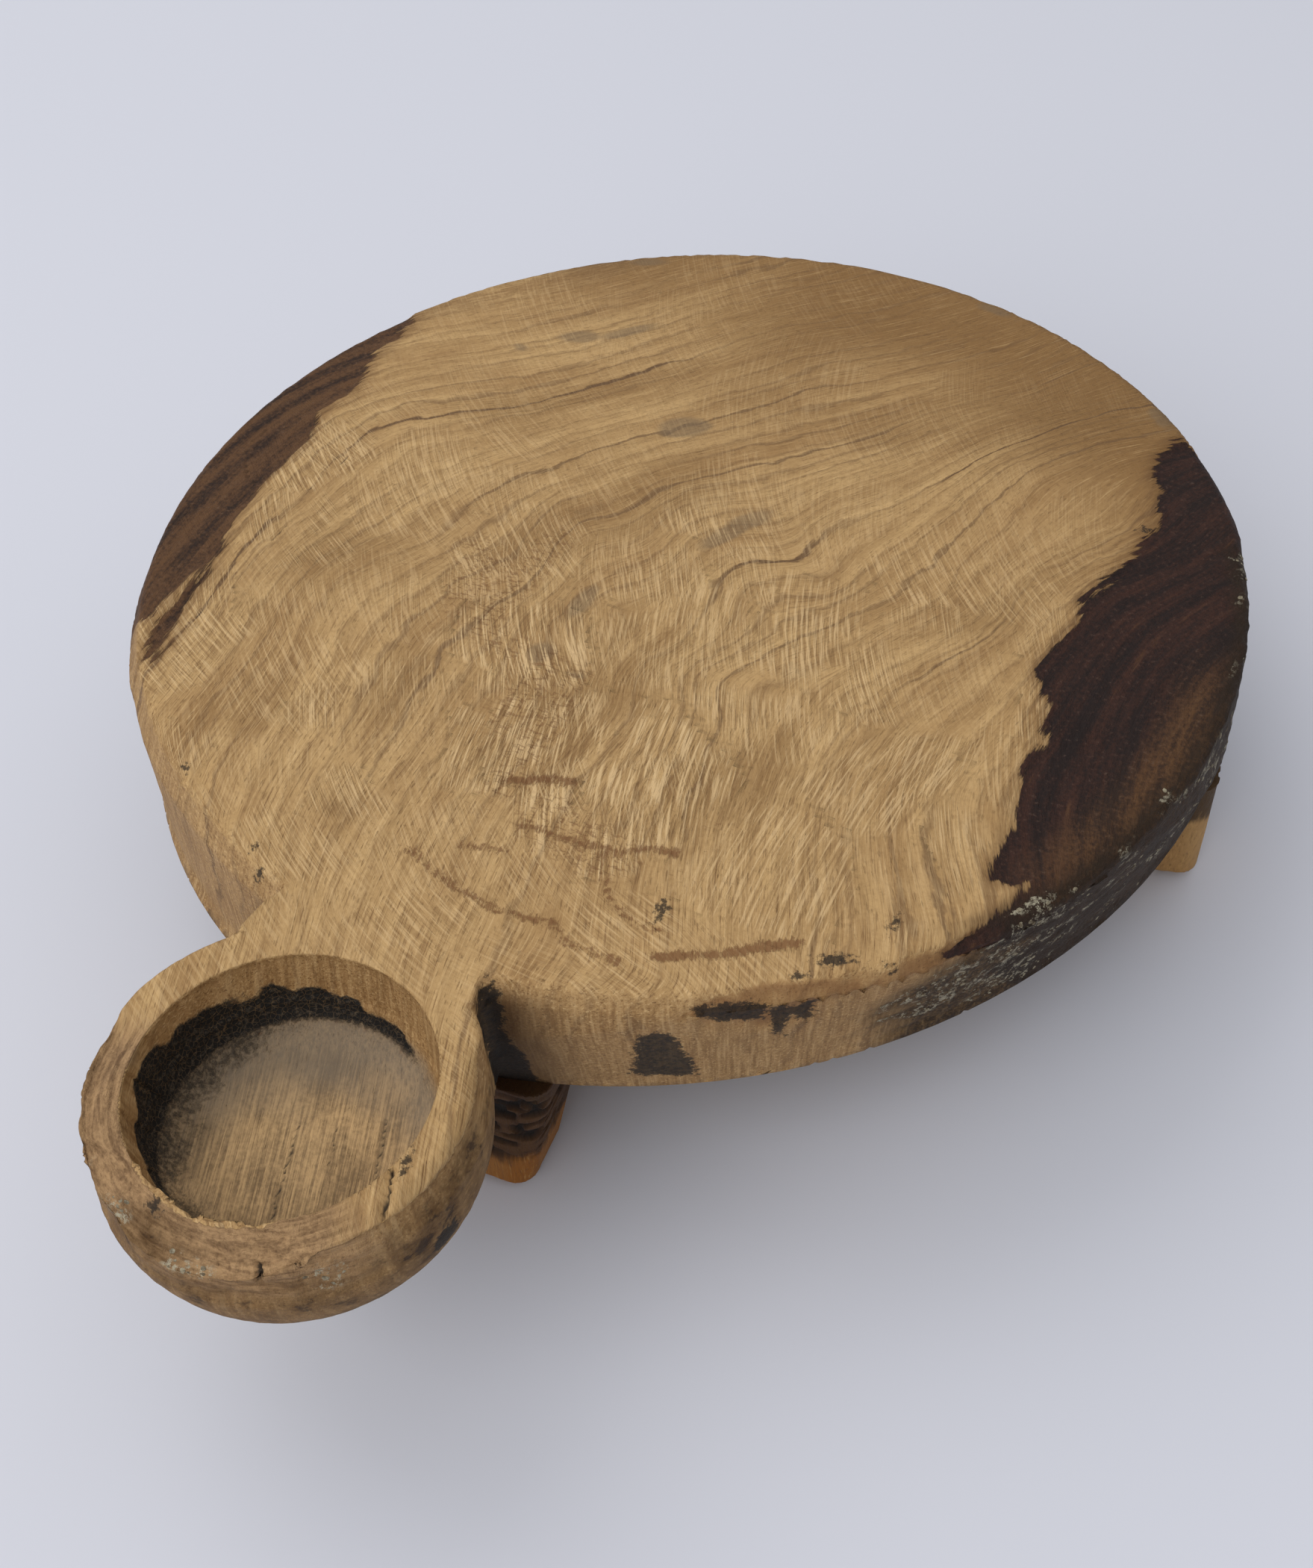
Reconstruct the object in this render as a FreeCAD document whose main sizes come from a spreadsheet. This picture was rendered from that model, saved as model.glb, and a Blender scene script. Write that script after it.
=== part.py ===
"""Chakla: a round rolling board with a flour bowl at its rim, standing on four let-in legs.

Frame: millimetres, +Z up, the floor at Z 0, the bowl towards -Y, and the origin under the middle of the
whole outline. Every sketch is drawn about the rolling face's axis, and each body is then moved to it.
"""
import FreeCAD, Part

import math
import os

import Sketcher

doc = FreeCAD.newDocument("chakla")
sheet = doc.addObject("Spreadsheet::Sheet", "dims")

DRIVING_DIMENSIONS = [
    ("rim_diameter", 255.6),          # across the rim below the bevel, down to the underside
    ("rim_shift", 1.5),               # the rim's own axis stands off to the left, towards -X
    ("face_inset", 2.8),              # the rim's radius less the rolling face's, so the face is 250 across
    ("board_thickness", 39.0),        # rolling face to underside, the bowl included
    ("bevel_drop", 9.0),              # worn bevel round the rolling face, widest on the left
    ("bevel_run", 4.4),
    ("bevel_edge_round", 1.5),
    ("wane_angle", 52.0),             # round from the bowl towards +X: here the log's own curve cuts the rim
    ("wane_depth", 11.5),             # taken off the underside's edge at that angle
    ("wane_top", 6.0),                # rolling face down to where the wane starts
    ("wane_offset", 27.0),            # how far the wane's own axis stands behind the board's
    ("bowl_reach", 160.6),            # board axis to bowl axis
    ("bowl_diameter", 75.6),
    ("bowl_base_diameter", 40.0),
    ("bowl_straight", 14.0),          # upright part of the bowl's outside
    ("bowl_edge_round", 1.5),
    ("cup_wall", 8.8),                # the bowl's wall at the cup's mouth
    ("cup_taper", 2.0),               # the mouth's radius less the floor's
    ("cup_depth", 20.0),
    ("cup_corner_round", 4.0),
    ("neck_left", 25.4),              # the neck's two sides at its root, from the line of the two axes
    ("neck_right", 8.1),
    ("neck_angle_left", 49.0),        # where the neck's sides run into the bowl, in degrees from that line
    ("neck_angle_right", 38.0),
    ("neck_undercut", 6.0),           # the board's underside up to the neck's
    ("neck_root", 30.0),              # how far the neck starts inside the rolling face's edge
    ("worn_lip_drop", 9.0),           # the bowl's front lip is worn away to a slope
    ("worn_lip_run", 12.0),
    ("leg_height", 39.0),             # floor to the board's underside
    ("leg_setback", 1.2),             # rim, where it is nearest, to the middle of the leg's outer face
    ("leg_top_width", 33.0),          # along the rim
    ("leg_foot_width", 18.0),
    ("leg_top_depth", 28.0),          # towards the board's axis
    ("leg_foot_depth", 20.0),
    ("leg_edge_round", 5.0),
    ("foot_chamfer", 2.5),
    ("front_leg_angle", 6.0),         # round from the bowl towards +X; the back leg is opposite
    ("right_leg_angle", 105.0),       # the left leg is opposite
    ("tenon_width", 18.0),            # along the rim; driven tight, so its mortise is as wide and as deep
    ("tenon_depth", 14.0),
    ("tenon_length", 19.0),
    ("tenon_end_gap", 0.5),           # end of the tenon to the end of its mortise
]


class Size:
    """A length or angle: the expression that binds it to the sheet, and its value for a first drawing."""

    def __init__(self, text, value):
        self.text = text
        self.value = value

    def __add__(self, other):
        other = as_size(other)
        return Size(f"({self.text} + {other.text})", self.value + other.value)

    def __sub__(self, other):
        other = as_size(other)
        return Size(f"({self.text} - {other.text})", self.value - other.value)

    def __mul__(self, other):
        other = as_size(other)
        return Size(f"({self.text} * {other.text})", self.value * other.value)

    def __truediv__(self, other):
        other = as_size(other)
        return Size(f"({self.text} / {other.text})", self.value / other.value)

    def __neg__(self):
        return Size(f"(-1 * {self.text})", -self.value)


def as_size(number):
    return number if isinstance(number, Size) else Size(repr(float(number)), float(number))


def sine(angle):
    return Size(f"sin({angle.text} * 1deg)", math.sin(math.radians(angle.value)))


def cosine(angle):
    return Size(f"cos({angle.text} * 1deg)", math.cos(math.radians(angle.value)))


size = {}
for row, (alias, value) in enumerate(DRIVING_DIMENSIONS, start=1):
    sheet.set(f"A{row}", alias)
    sheet.set(f"B{row}", str(value))
    sheet.setAlias(f"B{row}", alias)
    size[alias] = Size(f"dims.{alias}", value)
doc.recompute()

rim_radius = size["rim_diameter"] / 2
face_radius = rim_radius - size["face_inset"]
bowl_radius = size["bowl_diameter"] / 2
cup_radius = bowl_radius - size["cup_wall"]
cup_floor_radius = cup_radius - size["cup_taper"]
underside = size["leg_height"]
top = size["leg_height"] + size["board_thickness"]
leg_outer_radius = rim_radius - size["rim_shift"] - size["leg_setback"]
tenon_radius = leg_outer_radius - size["leg_top_depth"] / 2

# The rolling face's axis in the part's frame, whose origin lies under the middle of the outline
axis_x = size["rim_shift"]
axis_y = (size["bowl_reach"] + bowl_radius - rim_radius) / 2

LEG_ANGLES = {
    "front_leg": size["front_leg_angle"],
    "right_leg": size["right_leg_angle"],
    "back_leg": size["front_leg_angle"] + 180,
    "left_leg": size["right_leg_angle"] + 180,
}


def new_body(label, turn=None):
    """A body about the rolling face's axis, moved to that axis and turned round it by `turn` degrees."""
    body = doc.addObject("PartDesign::Body", label)
    body.Label = label
    body.setExpression("Placement.Base.x", axis_x.text)
    body.setExpression("Placement.Base.y", axis_y.text)
    if turn is not None:
        body.Placement.Rotation = FreeCAD.Rotation(FreeCAD.Vector(0, 0, 1), 1)
        body.setExpression("Placement.Rotation.Angle", turn.text)
    return body


def new_sketch(body, name, plane, height=None, forward=None, turn=None, left=None):
    """A sketch on the body's own XY plane at `height`, or on its XZ plane `forward` or `left` of the axis."""
    sketch = body.newObject("Sketcher::SketchObject", name)
    origin_plane = [feature for feature in body.Origin.OriginFeatures if feature.Role == plane]
    sketch.AttachmentSupport = (origin_plane[0], [""])
    sketch.MapMode = "FlatFace"
    if left is not None:
        sketch.setExpression("AttachmentOffset.Base.x", (-left).text)
    if height is not None:
        sketch.setExpression("AttachmentOffset.Base.z", height.text)
    if forward is not None and turn is None:
        sketch.setExpression("AttachmentOffset.Base.z", forward.text)
    if turn is not None:
        sketch.AttachmentOffset = FreeCAD.Placement(
            FreeCAD.Vector(0, 0, 0), FreeCAD.Rotation(FreeCAD.Vector(0, 1, 0), 1)
        )
        sketch.setExpression("AttachmentOffset.Rotation.Angle", turn.text)
        sketch.setExpression("AttachmentOffset.Base.x", (forward * sine(turn)).text)
        sketch.setExpression("AttachmentOffset.Base.z", (forward * cosine(turn)).text)
    return sketch


def bind(sketch, constraint, name, wanted):
    index = sketch.addConstraint(constraint)
    sketch.renameConstraint(index, name)
    sketch.setExpression(f"Constraints.{name}", wanted.text)


def draw_outline(sketch, corners, round_sides=None):
    """A closed outline through `corners`; `round_sides` gives the radius of each side that is an arc
    bulging to the right of its direction."""
    round_sides = round_sides or {}
    corners = [(as_size(across), as_size(along)) for across, along in corners]
    points = [FreeCAD.Vector(across.value, along.value, 0) for across, along in corners]
    ends = []
    for side, start in enumerate(points):
        end = points[(side + 1) % len(points)]
        if side in round_sides:
            radius = round_sides[side].value
            chord = end - start
            sagitta = radius - math.sqrt(radius**2 - (chord.Length / 2) ** 2)
            outward = FreeCAD.Vector(chord.y, -chord.x, 0).normalize()
            geometry = Part.Arc(start, (start + end) / 2 + outward * sagitta, end)
        else:
            geometry = Part.LineSegment(start, end)
        number = sketch.addGeometry(geometry)
        begins_first = sketch.getPoint(number, 1).distanceToPoint(start) < 1e-6
        ends.append((number, 1, 2) if begins_first else (number, 2, 1))
    for side, (number, first, last) in enumerate(ends):
        following, following_first, _ = ends[(side + 1) % len(ends)]
        sketch.addConstraint(Sketcher.Constraint("Coincident", number, last, following, following_first))
        across, along = corners[side]
        bind(sketch, Sketcher.Constraint("DistanceX", number, first, across.value), f"across_{side}", across)
        bind(sketch, Sketcher.Constraint("DistanceY", number, first, along.value), f"along_{side}", along)
        if side in round_sides:
            radius = round_sides[side]
            bind(sketch, Sketcher.Constraint("Radius", number, radius.value), f"radius_{side}", radius)


def revolve(body, kind, name, sketch):
    feature = body.newObject(f"PartDesign::{kind}", name)
    feature.Profile = sketch
    feature.ReferenceAxis = (sketch, ["V_Axis"])
    feature.Angle = 360
    return feature


def draw_upright_slot(sketch, end):
    """Side view of a tenon or of its mortise, from the board's underside up to height `end`."""
    half_width = size["tenon_width"] / 2
    draw_outline(
        sketch, [(-half_width, underside), (half_width, underside), (half_width, end), (-half_width, end)]
    )


def cut_checked(feature, body):
    """Recompute a cut and stop if it took nothing away."""
    before = feature.BaseFeature.Shape.Volume
    doc.recompute()
    if not body.Shape.Volume < before:
        raise RuntimeError(f"{feature.Name} cuts nothing")


# Board, neck and bowl: one carved block
board = new_body("board_with_bowl")

rim_sketch = new_sketch(board, "rim_section", "XZ_Plane", left=size["rim_shift"])
draw_outline(rim_sketch, [(0, underside), (rim_radius, underside), (rim_radius, top), (0, top)])
revolve(board, "Revolution", "rim", rim_sketch)
doc.recompute()

# The bevel is a cone about the rolling face's own axis, so the face is a true circle on an offset rim
bevel_sketch = new_sketch(board, "bevel_section", "XZ_Plane")
outside = rim_radius + size["rim_shift"] + size["bevel_run"]
draw_outline(
    bevel_sketch,
    [
        (face_radius, top),
        (face_radius + size["bevel_run"], top - size["bevel_drop"]),
        (outside, top - size["bevel_drop"]),
        (outside, top),
    ],
)
bevel = revolve(board, "Groove", "bevel", bevel_sketch)
cut_checked(bevel, board)

face_edges = [
    f"Edge{number}"
    for number, edge in enumerate(bevel.Shape.Edges, start=1)
    if edge.BoundBox.ZMin > top.value - size["bevel_edge_round"].value
]
worn_edge = board.newObject("PartDesign::Fillet", "worn_edge")
worn_edge.Base = (bevel, face_edges)
worn_edge.setExpression("Radius", size["bevel_edge_round"].text)
doc.recompute()

# The wane is a cone about an axis behind the board's, so it cuts deepest at one angle and dies out round it
wane_sketch = new_sketch(
    board, "wane_section", "XZ_Plane", forward=-size["wane_offset"], turn=size["wane_angle"]
)
wane_start = top - size["wane_top"]
wane_outside = outside + size["wane_offset"] * 2
draw_outline(
    wane_sketch,
    [
        (rim_radius - size["wane_depth"] + size["wane_offset"], underside),
        (wane_outside, underside),
        (wane_outside, wane_start),
        (face_radius + size["wane_offset"], wane_start),
    ],
)
wane = revolve(board, "Groove", "wane", wane_sketch)
cut_checked(wane, board)

bowl_sketch = new_sketch(board, "bowl_section", "XZ_Plane", forward=size["bowl_reach"])
bowl_base_radius = size["bowl_base_diameter"] / 2
bowl_inset = bowl_radius - bowl_base_radius
bowl_fall = size["board_thickness"] - size["bowl_straight"]
draw_outline(
    bowl_sketch,
    [
        (0, underside),
        (bowl_base_radius, underside),
        (bowl_radius, top - size["bowl_straight"]),
        (bowl_radius, top - size["bowl_edge_round"]),
        (bowl_radius - size["bowl_edge_round"], top),
        (0, top),
    ],
    round_sides={
        1: (bowl_inset * bowl_inset + bowl_fall * bowl_fall) / (bowl_inset * 2),
        3: size["bowl_edge_round"],
    },
)
revolve(board, "Revolution", "bowl_outside", bowl_sketch)

neck_sketch = new_sketch(board, "neck_outline", "XY_Plane", height=top)
neck_start = size["neck_root"] - face_radius
draw_outline(
    neck_sketch,
    [
        (-size["neck_left"], neck_start),
        (
            -bowl_radius * sine(size["neck_angle_left"]),
            bowl_radius * cosine(size["neck_angle_left"]) - size["bowl_reach"],
        ),
        (
            bowl_radius * sine(size["neck_angle_right"]),
            bowl_radius * cosine(size["neck_angle_right"]) - size["bowl_reach"],
        ),
        (size["neck_right"], neck_start),
    ],
)
neck = board.newObject("PartDesign::Pad", "neck")
neck.Profile = neck_sketch
neck.Reversed = True
neck.setExpression("Length", (size["board_thickness"] - size["neck_undercut"]).text)
doc.recompute()

cup_sketch = new_sketch(board, "cup_section", "XZ_Plane", forward=size["bowl_reach"])
cup_floor = top - size["cup_depth"]
draw_outline(
    cup_sketch,
    [
        (0, cup_floor),
        (cup_floor_radius - size["cup_corner_round"], cup_floor),
        (cup_floor_radius, cup_floor + size["cup_corner_round"]),
        (cup_radius, top),
        (0, top),
    ],
    round_sides={1: size["cup_corner_round"]},
)
cup = revolve(board, "Groove", "cup", cup_sketch)
cut_checked(cup, board)

# The worn front lip is a wedge off the bowl's rim, drawn side-on and cut right across
lip_sketch = new_sketch(board, "worn_lip_section", "YZ_Plane")
bowl_front = -size["bowl_reach"] - bowl_radius
draw_outline(
    lip_sketch,
    [
        (bowl_front, top - size["worn_lip_drop"]),
        (bowl_front + size["worn_lip_run"], top),
        (bowl_front, top),
    ],
)
worn_lip = board.newObject("PartDesign::Pocket", "worn_lip")
worn_lip.Profile = lip_sketch
worn_lip.Type = "ThroughAll"
worn_lip.Midplane = True
cut_checked(worn_lip, board)

# One mortise for each leg, up into the underside
for leg_name, angle in LEG_ANGLES.items():
    mortise_sketch = new_sketch(
        board, f"{leg_name}_mortise_section", "XZ_Plane", forward=tenon_radius, turn=angle
    )
    draw_upright_slot(mortise_sketch, underside + size["tenon_length"] + size["tenon_end_gap"])
    mortise = board.newObject("PartDesign::Pocket", f"{leg_name}_mortise")
    mortise.Profile = mortise_sketch
    mortise.Midplane = True
    mortise.setExpression("Length", size["tenon_depth"].text)
    cut_checked(mortise, board)


def make_leg(name, angle):
    """Tapered leg with a tenon; drawn towards the bowl and turned to its place."""
    leg = new_body(name, turn=angle)
    shoulder_sketch = new_sketch(leg, f"{name}_shoulder", "XY_Plane", height=underside)
    foot_sketch = new_sketch(leg, f"{name}_foot", "XY_Plane")
    levels = [
        (shoulder_sketch, size["leg_top_width"] / 2, size["leg_top_depth"]),
        (foot_sketch, size["leg_foot_width"] / 2, size["leg_foot_depth"]),
    ]
    for sketch, half_width, depth in levels:
        draw_outline(
            sketch,
            [
                (-half_width, -leg_outer_radius),
                (half_width, -leg_outer_radius),
                (half_width, depth - leg_outer_radius),
                (-half_width, depth - leg_outer_radius),
            ],
        )
    shank = leg.newObject("PartDesign::AdditiveLoft", f"{name}_shank")
    shank.Profile = shoulder_sketch
    shank.Sections = [(foot_sketch, [""])]
    shank.Ruled = True
    doc.recompute()

    foot_height = size["foot_chamfer"].value
    long_edges = [
        f"Edge{number}"
        for number, edge in enumerate(shank.Shape.Edges, start=1)
        if edge.BoundBox.ZLength > foot_height
    ]
    rounding = leg.newObject("PartDesign::Fillet", f"{name}_edges")
    rounding.Base = (shank, long_edges)
    rounding.setExpression("Radius", size["leg_edge_round"].text)
    doc.recompute()

    foot_edges = [
        f"Edge{number}"
        for number, edge in enumerate(rounding.Shape.Edges, start=1)
        if edge.BoundBox.ZMax < foot_height / 2
    ]
    chamfer = leg.newObject("PartDesign::Chamfer", f"{name}_foot_edge")
    chamfer.Base = (rounding, foot_edges)
    chamfer.setExpression("Size", size["foot_chamfer"].text)
    doc.recompute()

    tenon_sketch = new_sketch(leg, f"{name}_tenon_section", "XZ_Plane", forward=tenon_radius)
    draw_upright_slot(tenon_sketch, underside + size["tenon_length"])
    tenon = leg.newObject("PartDesign::Pad", f"{name}_tenon")
    tenon.Profile = tenon_sketch
    tenon.Midplane = True
    tenon.setExpression("Length", size["tenon_depth"].text)
    return leg


sub_parts = [board]
for leg_name, angle in LEG_ANGLES.items():
    sub_parts.append(make_leg(leg_name, angle))
doc.recompute()

for thing in doc.Objects:
    if "Invalid" in thing.State or "Error" in thing.State:
        raise RuntimeError(f"{thing.Label} failed: {thing.State}")
for sub_part in sub_parts:
    if sub_part.Shape.isNull() or not sub_part.Shape.isValid() or len(sub_part.Shape.Solids) != 1:
        raise RuntimeError(f"{sub_part.Label} is not one valid solid")

os.makedirs("parts", exist_ok=True)
for sub_part in sub_parts:
    sub_part.Shape.exportStep(os.path.join("parts", f"{sub_part.Label}.step"))
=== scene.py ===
"""Looks of a chakla: a round rolling board with a flour bowl at its rim, on four let-in legs."""

import math

import bmesh
import bpy
import numpy as np
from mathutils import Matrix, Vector, noise
from mathutils.bvhtree import BVHTree
from mathutils.kdtree import KDTree


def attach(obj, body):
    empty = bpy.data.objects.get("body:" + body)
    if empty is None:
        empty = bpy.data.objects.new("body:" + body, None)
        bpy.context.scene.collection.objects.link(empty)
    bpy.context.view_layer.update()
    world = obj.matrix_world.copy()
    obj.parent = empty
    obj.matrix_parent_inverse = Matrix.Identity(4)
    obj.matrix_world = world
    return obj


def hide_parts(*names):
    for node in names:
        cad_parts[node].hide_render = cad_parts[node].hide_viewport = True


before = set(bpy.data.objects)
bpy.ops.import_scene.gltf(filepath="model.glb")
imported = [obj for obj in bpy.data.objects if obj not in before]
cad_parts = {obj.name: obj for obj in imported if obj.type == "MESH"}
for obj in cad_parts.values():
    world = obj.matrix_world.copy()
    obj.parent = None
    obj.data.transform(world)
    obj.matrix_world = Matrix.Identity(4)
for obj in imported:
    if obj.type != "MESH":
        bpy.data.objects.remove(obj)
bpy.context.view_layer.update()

# Board with bowl: one block of oily brown hardwood, sawn round, with the flour bowl left standing at its rim and
# hollowed out with a chisel. The rolling face is scraped pale; its low places keep the old dark skin.
MM = 0.001
FACE_CENTRE = np.array([1.5, 35.3, 78.0])  # mm; the points below are measured from here, with the face at height 0
FACE_RADIUS = 125.0
BOWL_AXIS = np.array([0.0, -160.6])
CUP_RADIUS = 29.0
CUP_DEPTH = 20.0
UNDERSIDE = -39.0  # height of the board's underside
FACE_DOWN_TO = -12.0  # no part of the face or its bevel lies lower
FAR_OUT = -20.0  # mm; stands for far outside a mark
SQUARE_EDGE = math.radians(62)  # a sharper fold than this is drawn as an edge
MARK_GAP = 0.3  # mm between the marks along such an edge
RING_RADIUS = 33.0  # to the middle of the bowl's ring
NECK_LINE = -127.0  # where the board ends and the bowl begins
RIM_STARTS = 112.0  # the band of the board that counts as its rim, from this radius out
BOARD_SQUARE = 2.8  # mm; halved on what shows of the board, and again round the cup


def new_object(name, data):
    made = bpy.data.objects.new(name, data)
    bpy.context.scene.collection.objects.link(made)
    return made


def settle(piece):
    """Make what a piece's modifiers show its own mesh."""
    evaluated = piece.evaluated_get(bpy.context.evaluated_depsgraph_get())
    settled = bpy.data.meshes.new_from_object(evaluated)
    piece.modifiers.clear()
    piece.data = settled


def even_copy(node, name, square):
    """A merged copy of a CAD node cut into even squares, with the CAD surface and square edges to draw it back to."""
    shape = bmesh.new()
    shape.from_mesh(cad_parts[node].data)
    bmesh.ops.remove_doubles(shape, verts=shape.verts, dist=1e-6)
    merged = bpy.data.meshes.new(name)
    shape.to_mesh(merged)
    surface = BVHTree.FromBMesh(shape)
    marks = []  # points along the square edges
    for edge in shape.edges:
        if edge.calc_face_angle(0) > SQUARE_EDGE:
            start, end = (corner.co for corner in edge.verts)
            count = math.ceil((end - start).length / (MARK_GAP * MM))
            marks += [start.lerp(end, index / count) for index in range(count + 1)]
    shape.free()
    edges = KDTree(len(marks))
    for index, mark in enumerate(marks):
        edges.insert(mark, index)
    edges.balance()
    piece = new_object(name, merged)
    cutter = piece.modifiers.new("even_squares", "REMESH")
    cutter.mode = "VOXEL"
    cutter.voxel_size = square * MM
    settle(piece)
    return piece, (surface, edges)


def corners_of(mesh):
    """A mesh's corners as rows of x, y, z in metres."""
    flat = np.empty(len(mesh.vertices) * 3, np.float32)
    mesh.vertices.foreach_get("co", flat)
    return flat.reshape(-1, 3).astype(float)


def move_corners(mesh, places):
    mesh.vertices.foreach_set("co", places.astype(np.float32).ravel())
    mesh.update()


def outward(mesh):
    """Each corner's own outward direction."""
    flat = np.empty(len(mesh.vertices) * 3, np.float32)
    mesh.vertex_normals.foreach_get("vector", flat)
    return flat.reshape(-1, 3).astype(float)


def draw_to(mesh, cad, reach):
    """Draw each corner to the CAD surface; a mark on a square edge takes the corner nearest it within `reach` mm."""
    surface, edges = cad
    drawn = [surface.find_nearest(place)[0] for place in corners_of(mesh).tolist()]
    taken = {}
    for corner, point in enumerate(drawn):
        mark, number, gap = edges.find(point)
        if gap < reach * MM and (number not in taken or gap < taken[number][0]):
            taken[number] = (gap, corner, mark)
    for _, corner, mark in taken.values():
        drawn[corner] = mark
    move_corners(mesh, np.array(drawn))


def halve_squares(mesh, wanted):
    """Cut each square in four where `wanted` holds for its middle, in mm from the face's centre."""
    shape = bmesh.new()
    shape.from_mesh(mesh)
    sides = set()
    for face in shape.faces:
        if wanted(np.array(face.calc_center_median()) / MM - FACE_CENTRE):
            sides.update(face.edges)
    bmesh.ops.subdivide_edges(shape, edges=list(sides), cuts=1, use_grid_fill=True)
    shape.to_mesh(mesh)
    shape.free()


def shows(middle):
    """True on the rolling face, the rim and the bowl, and false on the underside and in the mortises."""
    x, y, height = middle
    return height > FACE_DOWN_TO or math.hypot(x, y) > RIM_STARTS and height > UNDERSIDE + 0.5


def near_cup(middle):
    """True on the bowl's ring and inside its cup."""
    x, y, height = middle
    return math.hypot(x - BOWL_AXIS[0], y - BOWL_AXIS[1]) < 39 and height > -21 and y < NECK_LINE


board, board_cad = even_copy("board_with_bowl", "board_with_bowl_wood", BOARD_SQUARE)
draw_to(board.data, board_cad, 0.6 * BOARD_SQUARE)
halve_squares(board.data, shows)
draw_to(board.data, board_cad, 0.3 * BOARD_SQUARE)
halve_squares(board.data, near_cup)
draw_to(board.data, board_cad, 0.15 * BOARD_SQUARE)

place = corners_of(board.data) / MM - FACE_CENTRE

# The cup's corner is filled with old flour and worn rounder than the tool left it
CORNER_ROUND = 8.0
CUP_TAPER = 2.0  # mm from its edge in to its floor
from_bowl = place[:, :2] - BOWL_AXIS
cut_radius = np.hypot(*from_bowl.T)
corner_out = cut_radius - (CUP_RADIUS - CUP_TAPER - CORNER_ROUND)
corner_up = place[:, 2] + CUP_DEPTH - CORNER_ROUND
in_corner = (corner_out > 0) & (corner_up < 0) & (cut_radius < CUP_RADIUS) & (place[:, 2] > -CUP_DEPTH - 0.5)
drawn_in = np.where(in_corner, np.minimum(CORNER_ROUND / np.maximum(np.hypot(corner_out, corner_up), 1e-6), 1), 1)
rounder = cut_radius + corner_out * (drawn_in - 1)
place[:, :2] = BOWL_AXIS + from_bowl * (rounder / np.maximum(cut_radius, 1e-6))[:, None]
place[:, 2] += corner_up * (drawn_in - 1)

# Where each corner lies: from the face's centre, round the rim, round the bowl, and which way it faces
flat_place = place[:, :2]
height = place[:, 2]
radius = np.hypot(place[:, 0], place[:, 1])
rim_angle = np.degrees(np.arctan2(place[:, 0], -place[:, 1]))  # from the bowl round towards +X
bowl_radius = np.hypot(*(flat_place - BOWL_AXIS).T)
bowl_angle = np.degrees(np.arctan2(place[:, 0] - BOWL_AXIS[0], place[:, 1] - BOWL_AXIS[1]))  # from the board to +X
round_bowl = np.column_stack([np.radians((bowl_angle + 360) % 360) * RING_RADIUS, bowl_radius, height])
round_rim = np.column_stack([np.radians(rim_angle) * FACE_RADIUS, height, np.zeros(len(place))])
FOLDED = 0.65  # cosine; a corner that leans further off its solid takes the solid's direction
facing = outward(board.data)
solid_facing = np.array([board_cad[0].find_nearest(spot)[1] for spot in corners_of(board.data).tolist()])
folded = np.sum(facing * solid_facing, axis=1) < FOLDED
facing[folded] = solid_facing[folded]
on_face = np.clip((facing[:, 2] - 0.3) / 0.5, 0, 1) * (height > FACE_DOWN_TO)
in_cup = (bowl_radius < CUP_RADIUS + 0.8) & (height < -0.3) & (height > -CUP_DEPTH - 1)


def ease(value, low, high):
    """0 below `low`, 1 above `high`, and a smooth step between."""
    share = np.clip((value - low) / (high - low), 0, 1)
    return share * share * (3 - 2 * share)


def unevenness(points, period, seed):
    """Smooth random heights from -1 to 1 at each point, with bumps about `period` mm apart."""
    shifted = points / np.array(period) + 13.7 * seed
    return np.array([noise.noise(point) for point in shifted.tolist()])


def distance_to_line(points, line):
    """Distance in mm from each point to a line through a few given corners."""
    line = np.array(line, float)
    nearest = np.full(len(points), np.inf)
    for start, end in zip(line[:-1], line[1:]):
        side = end - start
        share = np.clip((points - start) @ side / (side @ side), 0, 1)
        nearest = np.minimum(nearest, np.hypot(*(points - start - share[:, None] * side).T))
    return nearest


def depth_inside(points, outline):
    """Distance in mm from each point to a closed outline through given corners, positive inside it."""
    outline = np.array(outline, float)
    inside = np.zeros(len(points), bool)
    for start, end in zip(outline, np.roll(outline, -1, axis=0)):
        spans = (start[1] > points[:, 1]) != (end[1] > points[:, 1])
        rise = end[1] - start[1] or 1e-9
        inside ^= spans & (points[:, 0] < start[0] + (end[0] - start[0]) * (points[:, 1] - start[1]) / rise)
    distance = distance_to_line(points, np.vstack([outline, outline[:1]]))
    return np.where(inside, distance, -distance)


def sideways(period, seed):
    """Smooth random shifts in x and y at each corner of the board, from -1 to 1."""
    return np.column_stack([unevenness(place, period, seed), unevenness(place, period, seed + 1)])


# The figure of the wood: a few grain lines, read one by one, each with its place across the grain in mm
GRAIN_LINES = {
    -82: [(-91, -65), (-94, -19), (-90, 13), (-63, 35), (-39, 63), (-17, 92), (1, 108)],
    -51: [(-59, -99), (-69, -43), (-58, -20), (-53, 1), (-34, 31), (2, 72), (31, 100)],
    -28: [(5, -182), (-18, -128), (-29, -75), (-30, -20), (-26, 5), (-5, 32), (21, 58), (47, 89)],
    8: [(22, -118), (13, -80), (14, -50), (10, -34), (11, -13), (19, 8), (31, 29), (45, 56), (75, 95)],
    28: [(51, -109), (37, -76), (30, -35), (35, -12), (48, 7), (54, 29), (59, 60), (72, 79)],
    52: [(79, -106), (65, -71), (58, -41), (64, -11), (73, 9), (74, 21), (80, 36), (89, 51)],
    69: [(97, -79), (83, -56), (77, -43), (82, -18), (84, 1), (89, 29), (106, 63)],
}


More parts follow.
